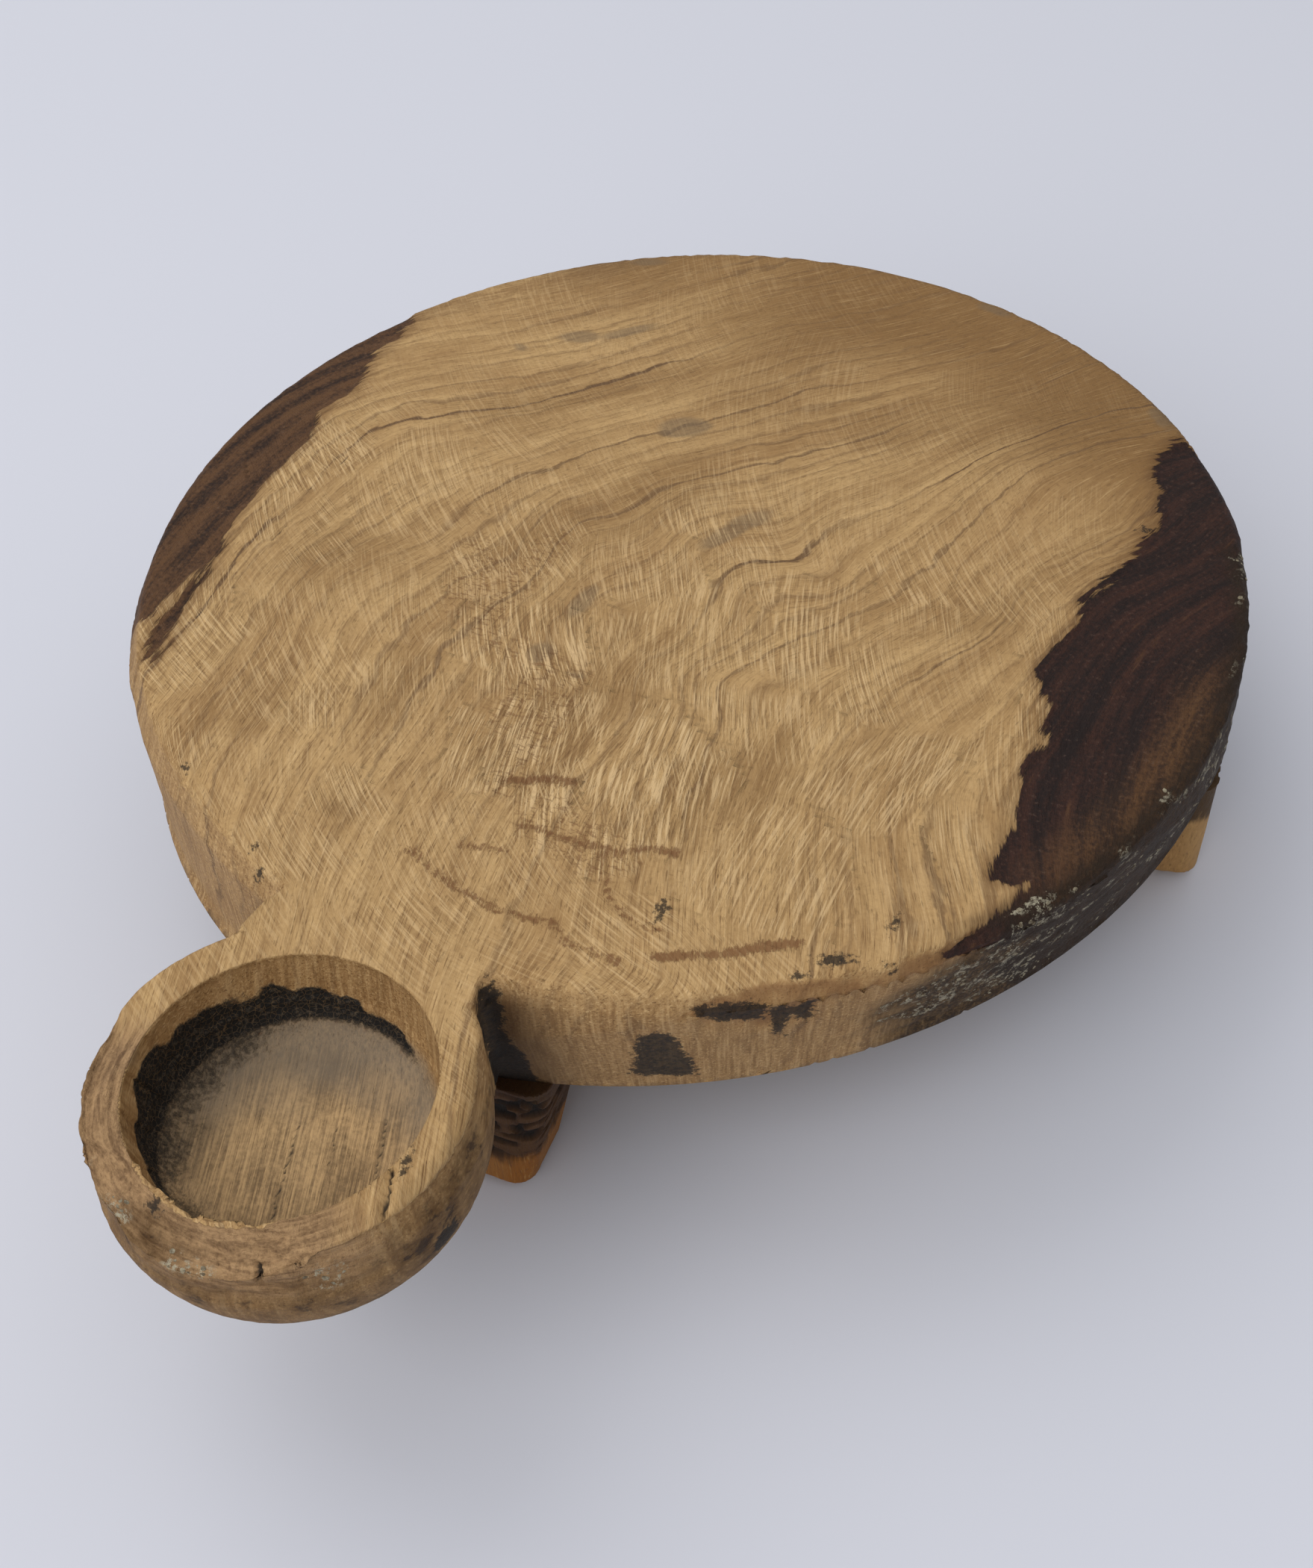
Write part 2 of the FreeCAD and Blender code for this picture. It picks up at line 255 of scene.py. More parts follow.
def across_the_grain(points):
    """Place across the grain at each point: a thin plate bent through the grain lines."""
    knots = np.array([corner for line in GRAIN_LINES.values() for corner in line], float)
    heights = np.array([level for level, line in GRAIN_LINES.items() for _ in line], float)

    def bending(ends):
        gap = np.hypot(ends[:, None, 0] - knots[None, :, 0], ends[:, None, 1] - knots[None, :, 1])
        return gap**2 * np.log(gap + 1e-9)

    def tilting(ends):
        return np.column_stack([np.ones(len(ends)), ends])

    size = len(knots)
    plate = np.zeros((size + 3, size + 3))
    plate[:size, :size] = bending(knots) + 40 * np.eye(size)
    plate[:size, size:] = tilting(knots)
    plate[size:, :size] = tilting(knots).T
    weights = np.linalg.solve(plate, np.append(heights, np.zeros(3)))
    return bending(points) @ weights[:size] + tilting(points) @ weights[size:]


island = 9 * unevenness(place, 24, 40) * ease(-np.hypot(place[:, 0] - 5, place[:, 1] + 8), -58, -25)
in_bowl = ease(-place[:, 1], 108, 138)  # past the last grain line it runs straight on
straight = 0.92 * place[:, 0] + 0.39 * place[:, 1] + 38.5
across = (1 - in_bowl) * across_the_grain(flat_place) + in_bowl * straight + island - 0.12 * height
along = 0.36 * place[:, 0] + 0.93 * place[:, 1] + 0.2 * height
grain = np.column_stack([across, along, height])

# Veins: dark growth lines at set places across the grain; between the bold ones stand faint ones
BOLD_VEINS = {-82: 0.8, -51: 0.6, -28: 0.6, 8: 0.95, 28: 0.5, 52: 0.7, 69: 0.55}
FAINT_VEIN_GAP = 4.6
chance = np.random.default_rng(7)
vein_strength = dict(BOLD_VEINS)
for at in np.arange(-126, 108, FAINT_VEIN_GAP):
    at += chance.uniform(-1.6, 1.6)
    if min(abs(at - bold) for bold in BOLD_VEINS) > 2.5:
        vein_strength[at] = chance.uniform(0.1, 0.45)
vein_places = np.array(sorted(vein_strength))
vein_strengths = np.array([vein_strength[at] for at in vein_places])
wobbly = across + 2.2 * unevenness(grain, (9, 26, 12), 14) + 1.5 * unevenness(grain, (4, 7, 8), 15)
wobbly += 0.7 * unevenness(grain, (2.5, 3.5, 5), 41)
vein_count = np.interp(wobbly, vein_places, np.arange(len(vein_places)))
nearest_vein = np.round(vein_count).astype(int)
vein_gap = np.append(np.diff(vein_places), FAINT_VEIN_GAP)[np.floor(vein_count).astype(int)]
vein_fade = ease(unevenness(grain, (18, 40, 20), 16), -0.35, 0.25)
vein_share = np.minimum(vein_strengths[nearest_vein] * (0.35 + 0.9 * vein_fade), 1)
veins = np.column_stack([vein_count, vein_gap, vein_share])


def oval_depth(points, ovals):
    """How deep each point lies in the deepest of several ovals, in mm, negative outside them all."""
    deepest = np.full(len(points), FAR_OUT)
    for middle, half_sizes, turn in ovals:
        cosine, sine = math.cos(math.radians(turn)), math.sin(math.radians(turn))
        shifted = points - np.array(middle)
        turned = np.column_stack([
            cosine * shifted[:, 0] + sine * shifted[:, 1], cosine * shifted[:, 1] - sine * shifted[:, 0], shifted[:, 2]
        ])
        depth = (1 - np.linalg.norm(turned / np.array(half_sizes), axis=1)) * min(half_sizes)
        deepest = np.maximum(deepest, depth)
    return deepest


# Broad tones: pale to tan bands and blotches, the browner back, and the torn fibres towards the bowl
banding = 0.36 + 0.5 * unevenness(grain, (13, 80, 30), 17) + 0.5 * unevenness(grain, (3.2, 30, 12), 18)
banding += 0.2 * unevenness(place, 17, 42) + 0.25 * unevenness(place, 6, 43)
ageing = ease(place[:, 1] + 0.25 * place[:, 0] + 34 * unevenness(place, 46, 19), 50, 105)
BROWN_PATCHES = [  # middle, half sizes in mm, turn in degrees
    ((-22, 10, 0), (13, 34, 20), -35), ((-70, -30, 0), (12, 16, 20), -20), ((-63, -85, 0), (8, 12, 20), 0),
    ((-27, -100, 0), (9, 9, 20), 0), ((2, -52, 0), (11, 26, 20), 0), ((-40, 52, 0), (44, 9, 20), 38),
    ((40, -64, 0), (10, 24, 20), -15), ((76, 30, 0), (9, 30, 20), -20), ((-36, -66, 0), (10, 20, 20), 10),
    ((44, 78, 0), (60, 16, 20), 24),
]
browned = oval_depth(place, BROWN_PATCHES) + 5 * unevenness(place, 15, 48) + 9 * unevenness(grain, (4, 24, 9), 49)
ageing = np.maximum(ageing, 0.5 * ease(browned, -4, 8))
streaks = unevenness(grain, (3.2, 46, 9), 20)
tones = np.column_stack([np.clip(banding, 0, 1), ageing, streaks])
fibrous = 0.55 + 0.5 * ease(-place[:, 1] + 24 * unevenness(place, 28, 44), 25, 80)

# Scraper marks lie in patches, each with its own lean; how they lean on the whole is read at a few places
MARK_LEANS = {  # degrees from +X
    (-80, 20): -30, (-70, -30): -35, (-60, -85): -48, (-20, 40): -55, (0, 0): -58, (0, -60): -72, (50, 20): -60,
    (55, -60): -86, (90, 0): -65, (0, 95): -62, (-20, -120): -35, (20, -120): 12, (0, -160): -30,
}


def scraper_patches(apart, seed):
    """Place across and along the marks in mm, and their strength, in uneven patches some `apart` mm across."""
    chance = np.random.default_rng(seed)
    across_board = np.arange(-135, 136, apart)
    middles = np.array([(x, y) for x in across_board for y in np.arange(-205, 131, apart)], float)
    middles += chance.uniform(-0.45, 0.45, middles.shape) * apart
    bent = flat_place + 5 * sideways(13, seed)
    first = np.full(len(bent), np.inf)
    second = np.full(len(bent), np.inf)
    number = np.zeros(len(bent), int)
    for index, middle in enumerate(middles):
        gap = np.hypot(*(bent - middle).T)
        nearer = gap < first
        second = np.where(nearer, first, np.minimum(second, gap))
        number = np.where(nearer, index, number)
        first = np.where(nearer, gap, first)
    guides = np.array(list(MARK_LEANS), float)
    pull = 1 / (np.hypot(*(middles[:, None] - guides[None]).transpose(2, 0, 1)) + 12) ** 3
    lean = np.radians(pull @ np.array(list(MARK_LEANS.values()), float) / pull.sum(axis=1))
    lean += np.radians(chance.uniform(-14, 14, len(middles)))
    way = np.column_stack([np.cos(lean), np.sin(lean)])[number]
    offset = flat_place - middles[number]
    lengthwise = np.sum(offset * way, axis=1)
    crosswise = offset[:, 0] * -way[:, 1] + offset[:, 1] * way[:, 0] - lengthwise**2 / 260
    strength = chance.uniform(0.1, 1.0, len(middles))[number] * ease(second - first, 0.5, 7) * on_face
    strength *= (0.25 + 0.75 * ease(-place[:, 1], -45, 20)) * (1 - 0.45 * ease(-place[:, 1], 122, 130))
    return np.column_stack([crosswise + 60 * number, lengthwise + 30 * number, strength])


marks_wide = scraper_patches(34, 50)
marks_fine = scraper_patches(21, 53)

# Old dark skin left in the low places: a crescent and a strip on the left, a broad field on the right
LEFT_SKIN = [
    (-110, 56), (-109, 46), (-112, 38), (-108, 31), (-107, 21), (-109, 11), (-106, 1), (-106, -19), (-104, -34),
    (-101, -43), (-101, -57), (-100, -70), (-104, -72), (-150, -70), (-150, 56),
]
LEFT_STRIP = [(-99, -49), (-97, -51), (-96, -59), (-93, -73), (-91, -81), (-94, -81), (-98, -71), (-99, -61)]
RIGHT_SKIN = [
    (87, 87), (85, 78), (89, 65), (93, 57), (91, 49), (92, 42), (89, 32), (86, 24), (88, 16), (86, 7), (85, -1),
    (91, -10), (94, -21), (93, -28), (95, -39), (97, -45), (96, -55), (97, -61), (101, -61), (105, -58), (102, -67),
    (101, -76), (103, -86), (97, -101), (92, -109), (150, -109), (150, 90),
]
torn = unevenness(grain, (3.0, 16.0, 6.0), 1) + 0.6 * unevenness(grain, (1.6, 7.0, 4.0), 2)
skin = np.maximum.reduce([depth_inside(flat_place, outline) for outline in (LEFT_SKIN, LEFT_STRIP, RIGHT_SKIN)])
wall_wander = 11 * unevenness(round_rim, (34, 13, 1), 61) + 5 * unevenness(round_rim, (9, 5, 1), 62)
skin = np.where(place[:, 1] > -120, skin + 1.8 * torn + (1 - on_face) * wall_wander, FAR_OUT)

# Torn ledges where the scraped face breaks off above the front rim, right and left of the bowl
RIGHT_LEDGE = [
    (50, -119), (65, -107), (70, -102), (76, -98), (83, -94), (90, -88), (96, -80), (100, -73), (150, -73), (90, -170)
]
LEFT_LEDGE = [
    (-93, -84), (-82, -94), (-73, -98), (-65, -100), (-56, -104), (-48, -104), (-42, -113), (-35, -119), (-29, -122),
    (-60, -170), (-140, -100),
]
on_board = place[:, 1] > NECK_LINE
on_rim = on_board & (radius > RIM_STARTS)
right_ledge = np.where(on_board, depth_inside(flat_place, RIGHT_LEDGE) + 1.2 * torn, FAR_OUT)
left_ledge = np.where(on_board, depth_inside(flat_place, LEFT_LEDGE) + 0.9 * torn, FAR_OUT)

# Old bark on the right edge, and pale mineral flakes on it and on the bowl's front
clumps = unevenness(round_rim, (15, 4.5, 1), 24) + 0.5 * unevenness(round_rim, (5, 2, 1), 29)
BARK_END = 116  # degrees
bark_start = 45 + 9 * ease(height, -20, -2)  # degrees; further round at the top
on_edge = np.maximum(radius - 121.5, -height - 4)
crust = np.minimum(on_edge, 0.5 * np.minimum(rim_angle - bark_start, BARK_END - rim_angle))
crust = np.where(on_rim, crust + 2.0 * clumps, FAR_OUT)
BOWL_FLAKES = [  # middle, half sizes in mm, turn in degrees
    ((3, -197, -8), (6, 3, 2.5), 0), ((27, -187, -9), (5, 4, 4), -50), ((-24, -189, -8), (6, 4, 6), 45),
    ((-15, -195, -6), (4, 3, 3), 20), ((-33, -182, -17), (6, 9, 5), -25), ((-22, -191, -21), (7, 5, 4), 20),
]
flake_heart = ease(-np.abs(rim_angle - 57), -14, -3)  # thickest where the bark meets the face
flaky = 6 * clumps - 0.6 + 0.6 * ease(-height, 1, 10) + 2.4 * flake_heart
flaky = np.where((crust > 1) & (height > UNDERSIDE + 2.5), flaky, FAR_OUT)
flaky = np.maximum(flaky, 1.6 * oval_depth(place, BOWL_FLAKES) + 1.2 + clumps)

# Knife chatter: brown strokes that cross the grain near the bowl, and fields of short dashes
KNIFE_STROKES = [  # half width in mm, and the stroke's line
    (1.6, [(-1, -78), (5, -75), (11, -73)]),
    (0.9, [(8, -88), (19, -87), (30, -86), (34, -82), (40, -81)]),
    (1.0, [(-9, -103), (-1, -106), (8, -108), (16, -109), (27, -107), (31, -110), (43, -110)]),
    (1.3, [(48, -106), (53, -103), (59, -100), (65, -95), (71, -91)]),
    (0.5, [(26, -88), (30, -93), (34, -97), (41, -101), (46, -100)]),
    (0.4, [(-1, -98), (9, -95)]),
]
stroke_wander = flat_place + 0.6 * sideways(5, 56)
strokes = np.maximum.reduce([0.7 * width - distance_to_line(stroke_wander, line) for width, line in KNIFE_STROKES])
strokes += 0.5 * unevenness(place, 4, 58)
DASH_FIELDS = [  # half width in mm, and the field's middle line
    (3.6, [(-30, -8), (-31, -40)]),
    (5.0, [(-44, -19), (-39, -33)]),
    (3.5, [(-11, -44), (-11, -64)]),
    (3.5, [(-3, -46), (-1, -80)]),
    (3.0, [(-27, -42), (-20, -44)]),
    (6.0, [(12, -84), (28, -88)]),
]
dashes = np.maximum.reduce([width - distance_to_line(flat_place, line) for width, line in DASH_FIELDS])

# Black stains, the notch's black painted shade, and grey bruises: middle and half sizes in mm, and turn in degrees
BLACK_STAINS = [
    ((44, -95, 0), (1.1, 2.5, 2), 10),
    ((79, -92, 0), (4.2, 1.3, 2), 24), ((89, -89, 0), (1.6, 1.8, 2), 0), ((86, -80, 0), (0.9, 2.0, 2), 10),
    ((75, -98, 0), (1.4, 1.1, 2), 30), ((-65, -104, -2), (0.8, 1.4, 3), 35), ((-38, -116, -2), (0.6, 1.2, 3), 12),
    ((-34, -121, -3), (1.0, 0.8, 3), 0), ((91, 52, 0), (1.5, 1.9, 2), 0), ((35, -166, -18), (4.5, 3.6, 4.5), 0),
    ((30, -165, 0), (0.8, 1.8, 2), 15), ((-7, -191, -4), (1.4, 1.2, 3), 0),
]
RIM_STAINS_AND_NOTCH_SHADE = [  # on the rim rolled out flat: mm round it from the bowl's middle, and height
    [(50, -13), (54, -10.5), (57, -14), (61.5, -35), (47, -33)],
    [(60.5, -3), (65, -2.5), (71.5, -2.6), (75, -5), (74.5, -11.5), (66.5, -9.5), (62.5, -7)],
    [(75.5, -10), (77, -5.5), (81, -9), (86, -5), (83, -16), (79.5, -12), (77.5, -19), (80, -22), (76, -18)],
    # the last outline is painted shade: the black crevice down the notch between board and bowl
    [(14, -1.5), (20.5, -1.5), (23, -10), (26.5, -24), (27, -40), (10, -40)],
]
stains_and_notch_shade = oval_depth(place, BLACK_STAINS)
for outline in RIM_STAINS_AND_NOTCH_SHADE:
    stains_and_notch_shade = np.where(on_rim, np.maximum(stains_and_notch_shade, depth_inside(round_rim[:, :2], outline)), stains_and_notch_shade)
# The notch's inner corner is painted black: painted shade in the crevice between board and bowl
in_notch = oval_depth(place, [((20.5, -126, -10), (4.5, 7, 10), 0)])
stains_and_notch_shade = np.maximum(stains_and_notch_shade, np.minimum(in_notch, -height - 1.2)) + 0.9 * unevenness(place, 3.4, 25)
# Painted shade: the board's rim wall darkens towards the notch between board and bowl
notch_shade = (1 - ease(round_rim[:, 0], 22, 42)) * ease(round_rim[:, 0], 8, 14) * ease(-height, 1, 5) * on_board
BRUISES = [
    ((-14, -23, 0), (2.4, 6.5, 3), 0), ((-14, -42, 0), (3.2, 3.8, 3), 0), ((-3, -45, 0), (2.6, 1.6, 3), 0),
    ((6, 13, 0), (3.2, 10, 4), -25), ((-23, 42, 0), (7, 4, 4), 35), ((-65, 65, 0), (6, 2.6, 3), 25),
    ((-54, 73, 0), (9, 2.2, 3), 45), ((-77, 55, 0), (3, 1.8, 3), -20), ((-65, 103, 0), (6, 2, 5), 28),
    ((29, 119, 0), (5.5, 2, 5), -12), ((81, 93, 0), (5, 3, 5), -45), ((-31, -172, 0), (4, 7, 4), -15),
]
bruises = oval_depth(place, BRUISES) + 1.2 * unevenness(grain, (4, 11, 6), 26)

# Cracks in the bowl's lip, along the left edge and in the cup's floor: half width, depth and heights, and line
CRACKS = [
    (0.35, 1.4, (-9, 1), [(29, -168), (31, -172), (32, -176)]),
    (0.4, 1.6, (-9, 1), [(16, -192), (18, -195), (16, -197)]),
    (0.12, 0.3, (-4, 1), [(-92, 1), (-94, -15), (-95, -27)]),
    (0.12, 0.3, (-4, 1), [(-91, -30), (-92, -44), (-91, -65)]),
    (0.2, 0.5, (-22, -14), [(-2, -158), (0, -164), (3, -172), (5, -178)]),
    (0.15, 0.4, (-22, -14), [(4, -150), (5, -155), (8, -163)]),
    (0.2, 0.5, (-22, -14), [(12, -149), (16, -158), (18, -163)]),
    (0.12, 0.3, (-22, -14), [(19, -160), (22, -166)]),
]
crack_wander = flat_place + 0.7 * sideways(3, 27)
crack = np.full(len(place), FAR_OUT)
crack_depth = np.zeros(len(place))
for width, deep, (low, high), line in CRACKS:
    inside = width - distance_to_line(crack_wander, line)
    here = (height > low) & (height < high)
    crack = np.where(here, np.maximum(crack, inside), crack)
    crack_depth = np.where(here, np.maximum(crack_depth, deep * ease(inside, -0.5 * width, 0.5 * width)), crack_depth)

# The bowl's front lip is weathered to a fibrous slope
LIP_MIDDLE = 196  # degrees from the board towards +X
LIP_HALF_TURN = 78
LIP_HALF_WIDTH = 8
LIP_RADIUS = 32.5
lip_turn = (bowl_angle + 360) % 360 - LIP_MIDDLE
lip = np.minimum(LIP_HALF_WIDTH - np.abs(bowl_radius - LIP_RADIUS), 0.25 * (LIP_HALF_TURN - np.abs(lip_turn)))
lip = np.where((place[:, 1] < -150) & ~in_cup, np.minimum(lip, height + 14), FAR_OUT)
lip += np.where(lip > FAR_OUT + 1, 1.8 * unevenness(place, 8, 30), 0)

# Soot and old flour grease in the cup, and painted shade down its left wall and on the floor beside it: where it
# starts, in mm below the ring, by angle from the board to +X
SOOT_AND_SHADE_LINE = {-180: 19, -135: 12, -110: 4.5, -80: 6, -45: 8.5, -15: 11.5, 15: 15, 45: 17, 90: 20, 180: 20}
soot_and_shade_line = np.interp(bowl_angle, list(SOOT_AND_SHADE_LINE), list(SOOT_AND_SHADE_LINE.values())) + 2.4 * unevenness(place, 5, 5)
# Darker on the floor towards the left wall: partly painted shade
floor_soot_and_shade = bowl_radius + 6 * np.cos(np.radians(bowl_angle + 105)) + 4 * unevenness(place, 7, 60)
soot_and_shade = np.maximum(ease(height, -18, -15), 0.58 * ease(floor_soot_and_shade, 22, 33))
soot_and_shade = np.where(in_cup, soot_and_shade * ease(-height, soot_and_shade_line - 1.2, soot_and_shade_line + 1.2), 0)
grey_side = bowl_radius + 10 * np.cos(np.radians(bowl_angle + 30)) + 4 * unevenness(place, 9, 46)
floor_grey = np.where(in_cup, ease(grey_side, 12, 30) * ease(-height, 12, 15), 0)

# Grime on the bowl, partly painted shade: brown-grey outside, low down and round the left front, and down the right
# side
grime_and_shade = ease(-height, 5, 17) * (place[:, 1] < -128) * ~in_cup * 0.85
BOWL_GRIME_AND_SHADE = [
    ((-36, -178, -10), (6, 15, 8), -25), ((-10, -196, -8), (14, 5, 6), 15), ((37, -163, -15), (10, 34, 11), 12)
]
grime_and_shade = np.maximum(grime_and_shade, ease(oval_depth(place, BOWL_GRIME_AND_SHADE) + 2 * unevenness(place, 6, 45), -2, 3) * ~in_cup)

# Chisel cuts round the cup's wall, each a flat that ends in a small step
CHISEL_CUTS = np.array(
    [-180, -163, -147, -128, -112, -95, -78, -62, -45, -27, -13, 8, 27, 46, 63, 82, 101, 119, 140, 160, 180]
)
leaning = bowl_angle + 0.6 * height
cut_number = np.clip(np.searchsorted(CHISEL_CUTS, leaning) - 1, 0, len(CHISEL_CUTS) - 2)
cut_share = np.clip((leaning - CHISEL_CUTS[cut_number]) / np.diff(CHISEL_CUTS)[cut_number], 0, 1)
on_wall = in_cup & (bowl_radius > 25)
chisel = np.where(on_wall, 0.5 * cut_share * ease(-height, 0.2, 1.5) * ease(height, -19, -13), 0)
cut_darkness = chance.uniform(0.1, 1.0, len(CHISEL_CUTS))[cut_number]
cut_edge = np.where(on_wall, cut_darkness * ease(cut_share, 0.91, 1.0), 0)

DEEPEST_CUT = 4.0  # mm; nothing sinks further

# Knife cuts along the bowl's right edge, each a flat that slopes out from the ring
FACET = 17.0  # degrees round the bowl for each cut
FACET_RADIUS = 33.6  # where the cuts start on the ring
FACET_OUT, FACET_DOWN = 4, 9  # the cuts' slope
off_middle = np.radians((bowl_angle - 5) % FACET - FACET / 2)
past_facet = (bowl_radius * np.cos(off_middle) - FACET_RADIUS) * FACET_DOWN + height * FACET_OUT
facet_share = ease(bowl_angle, 46, 58) * ease(-bowl_angle, -128, -106) * (np.abs(bowl_radius - 37) < 6) * ~in_cup
facet = np.clip(past_facet / math.hypot(FACET_OUT, FACET_DOWN), 0, DEEPEST_CUT) * facet_share

# How far each corner sinks below the CAD surface, in mm
broad = 0.22 + 0.16 * unevenness(place, 34, 6) + 0.06 * unevenness(place, 9, 7)
skin_step = on_face * ease(skin, -0.7, 0.7) * (0.75 + 0.2 * unevenness(place, 4, 8))
ledge_rough = 0.3 * unevenness(grain, (3, 14, 6), 9)
ledge_step = ease(right_ledge, -0.6, 0.6) * (0.7 + 0.12 * np.clip(right_ledge, 0, 12) + ledge_rough)
ledge_step += ease(left_ledge, -0.6, 0.6) * (0.35 + 0.1 * np.clip(left_ledge, 0, 10))
bark = ease(crust, -2, 2) * (0.7 + 0.4 * unevenness(place, 3.2, 10))
lip_rough = 0.6 * unevenness(place, 9, 31) + 0.7 * unevenness(round_bowl, (17, 2.8, 2.8), 11)
lip_rough += 0.35 * unevenness(place, 3.5, 12) + 0.3 * unevenness(round_bowl, (7, 1.4, 1.4), 47)
lip_step = ease(lip, -1.5, 4) * (0.2 + 0.8 * ease(bowl_radius, 29.5, 33)) * (1.3 + 1.4 * lip_rough)
saw_marks = 0.1 * unevenness(place, (1.6, 1.6, 40), 13) * (1 - on_face)
sink = broad + skin_step + ledge_step + bark + lip_step + saw_marks + crack_depth + chisel + facet
sink = np.clip(sink, 0, DEEPEST_CUT) * ease(height, UNDERSIDE + 0.1, UNDERSIDE + 3.5)  # the underside stays as it is
sunk = place - facing * sink[:, None]

# On the worn bowl, a corner that stands off from its neighbours is drawn back among them
SPLINTER = 0.65  # mm off their middle
ends = np.empty(2 * len(board.data.edges), np.int32)
board.data.edges.foreach_get("vertices", ends)
ends = ends.reshape(-1, 2)
neighbours = np.bincount(ends.ravel(), minlength=len(sunk))[:, None]
for _ in range(3):
    among = np.zeros_like(sunk)
    np.add.at(among, ends[:, 0], sunk[ends[:, 1]])
    np.add.at(among, ends[:, 1], sunk[ends[:, 0]])
    among /= neighbours
    splinters = (np.linalg.norm(sunk - among, axis=1) > SPLINTER) & (place[:, 1] < -140) & (crack < -1)
    sunk[splinters] = among[splinters]
move_corners(board.data, (sunk + FACE_CENTRE) * MM)
board.data.shade_smooth()


def keep_on_corners(mesh, name, values):
    """Store one number, or three, for each corner of a mesh, for its material to read."""
    kind, field = ("FLOAT", "value") if values.ndim == 1 else ("FLOAT_VECTOR", "vector")
    kept = mesh.attributes.new(name, kind, "POINT")
    kept.data.foreach_set(field, values.astype(np.float32).ravel())


board_fields = {
    "grain": grain, "veins": veins, "tones": tones, "fibrous": fibrous,
    "marks_wide": marks_wide, "marks_fine": marks_fine, "skin": skin, "ledge": right_ledge,
    "crust": crust, "flaky": flaky, "strokes": strokes, "dashes": dashes, "stains_and_notch_shade": stains_and_notch_shade, "bruises": bruises,
    "crack": crack, "lip": lip, "soot_and_shade": soot_and_shade, "floor_grey": floor_grey, "cup": in_cup * ease(-height, 0.5, 2.5),
    "grime_and_shade": grime_and_shade, "cut_edge": cut_edge, "wall": 1 - on_face, "round_bowl": round_bowl, "round_rim": round_rim,
    "notch_shade": notch_shade, "bark_edge": ease(radius, 110, 120) * ease(-np.abs(rim_angle - 80), -24, -8) * on_board,
}
for name, values in board_fields.items():
    keep_on_corners(board.data, name, values)


def colour(red, green, blue):
    """A colour as a picture shows it, 0 to 255, turned into the shader's linear scale."""
    linear = [
        part / 12.92 if part <= 0.04045 else ((part + 0.055) / 1.055) ** 2.4
        for part in (red / 255, green / 255, blue / 255)
    ]
    return (*linear, 1.0)


def wire(tree, kind, inputs, output=0, prefix="ShaderNode", **settings):
    """Add a node, set or link its inputs, and give back one of its outputs, or all of them for None."""
    node = tree.nodes.new(prefix + kind)
    for setting, value in settings.items():
        setattr(node, setting, value)
    for socket, value in inputs.items():
        if isinstance(value, bpy.types.NodeSocket):
            tree.links.new(value, node.inputs[socket])
        else:
            node.inputs[socket].default_value = value
    return node.outputs if output is None else node.outputs[output]


# Each of these adds its node to the tree that its first input belongs to
def plus(first, second):
    return wire(first.id_data, "Math", {0: first, 1: second}, operation="ADD")


def times(first, second):
    return wire(first.id_data, "Math", {0: first, 1: second}, operation="MULTIPLY")


def larger(first, second):
    return wire(first.id_data, "Math", {0: first, 1: second}, operation="MAXIMUM")


def step(value, low, high, start=0.0, end=1.0):
    """A smooth step from `start` at `low` to `end` at `high`."""
    inputs = {0: value, 1: low, 2: high, 3: start, 4: end}
    return wire(value.id_data, "MapRange", inputs, interpolation_type="SMOOTHSTEP")


def bumps(vector, per_mm, detail=2.0, roughness=0.55, distortion=0.0):
    """Noise with its own number of bumps per mm along each axis."""
    tree = vector.id_data
    stretched = wire(tree, "VectorMath", {0: vector, 1: per_mm}, operation="MULTIPLY")
    inputs = {"Vector": stretched, "Scale": 1.0, "Detail": detail, "Roughness": roughness, "Distortion": distortion}
    return wire(tree, "TexNoise", inputs)


def paint(share, under, over):
    return wire(share.id_data, "Mix", {0: share, 6: under, 7: over}, output=2, data_type="RGBA")


def parts(vector):
    return wire(vector.id_data, "SeparateXYZ", {0: vector}, output=None)


def read(tree, name, output="Fac"):
    return wire(tree, "Attribute", {}, output=output, attribute_name=name)


def new_group(name, inputs, outputs):
    """An empty shader group with named inputs and outputs."""
    group = bpy.data.node_groups.new(name, "ShaderNodeTree")
    for label, kind in inputs.items():
        group.interface.new_socket(label, in_out="INPUT", socket_type="NodeSocket" + kind)
    for label, kind in outputs.items():
        group.interface.new_socket(label, in_out="OUTPUT", socket_type="NodeSocket" + kind)
    given = group.nodes.new("NodeGroupInput")
    result = group.nodes.new("NodeGroupOutput")
    return group, given.outputs, result.inputs


def use_group(tree, group, inputs):
    return wire(tree, "Group", inputs, output=None, node_tree=group)


# Fibres: fine lights, darks and pores drawn out along the grain, over a given colour
wood_fibres, given, result = new_group(
    "wood_fibres",
    {"Grain": "Vector", "Wood": "Color", "Light": "Color", "Dark": "Color", "Strength": "Float"},
    {"Color": "Color", "Fibre": "Float", "Fray": "Float", "Height": "Float"},
)
fibre = bumps(given["Grain"], (2.3, 0.075, 1.9), detail=3, roughness=0.75)
fray = bumps(given["Grain"], (0.7, 0.08, 0.6), detail=4, roughness=0.7)
lit = times(step(fibre, 0.5, 0.78), given["Strength"])
shaded = times(step(fibre, 0.5, 0.25), given["Strength"])
pores = step(bumps(given["Grain"], (2.6, 0.45, 2.2), detail=0), 0.68, 0.8)
fibred = paint(lit, given["Wood"], given["Light"])
fibred = paint(shaded, fibred, given["Dark"])
pored = times(pores, times(given["Strength"], 0.45))
fibred = paint(pored, fibred, given["Dark"])
wood_fibres.links.new(fibred, result["Color"])
wood_fibres.links.new(fibre, result["Fibre"])
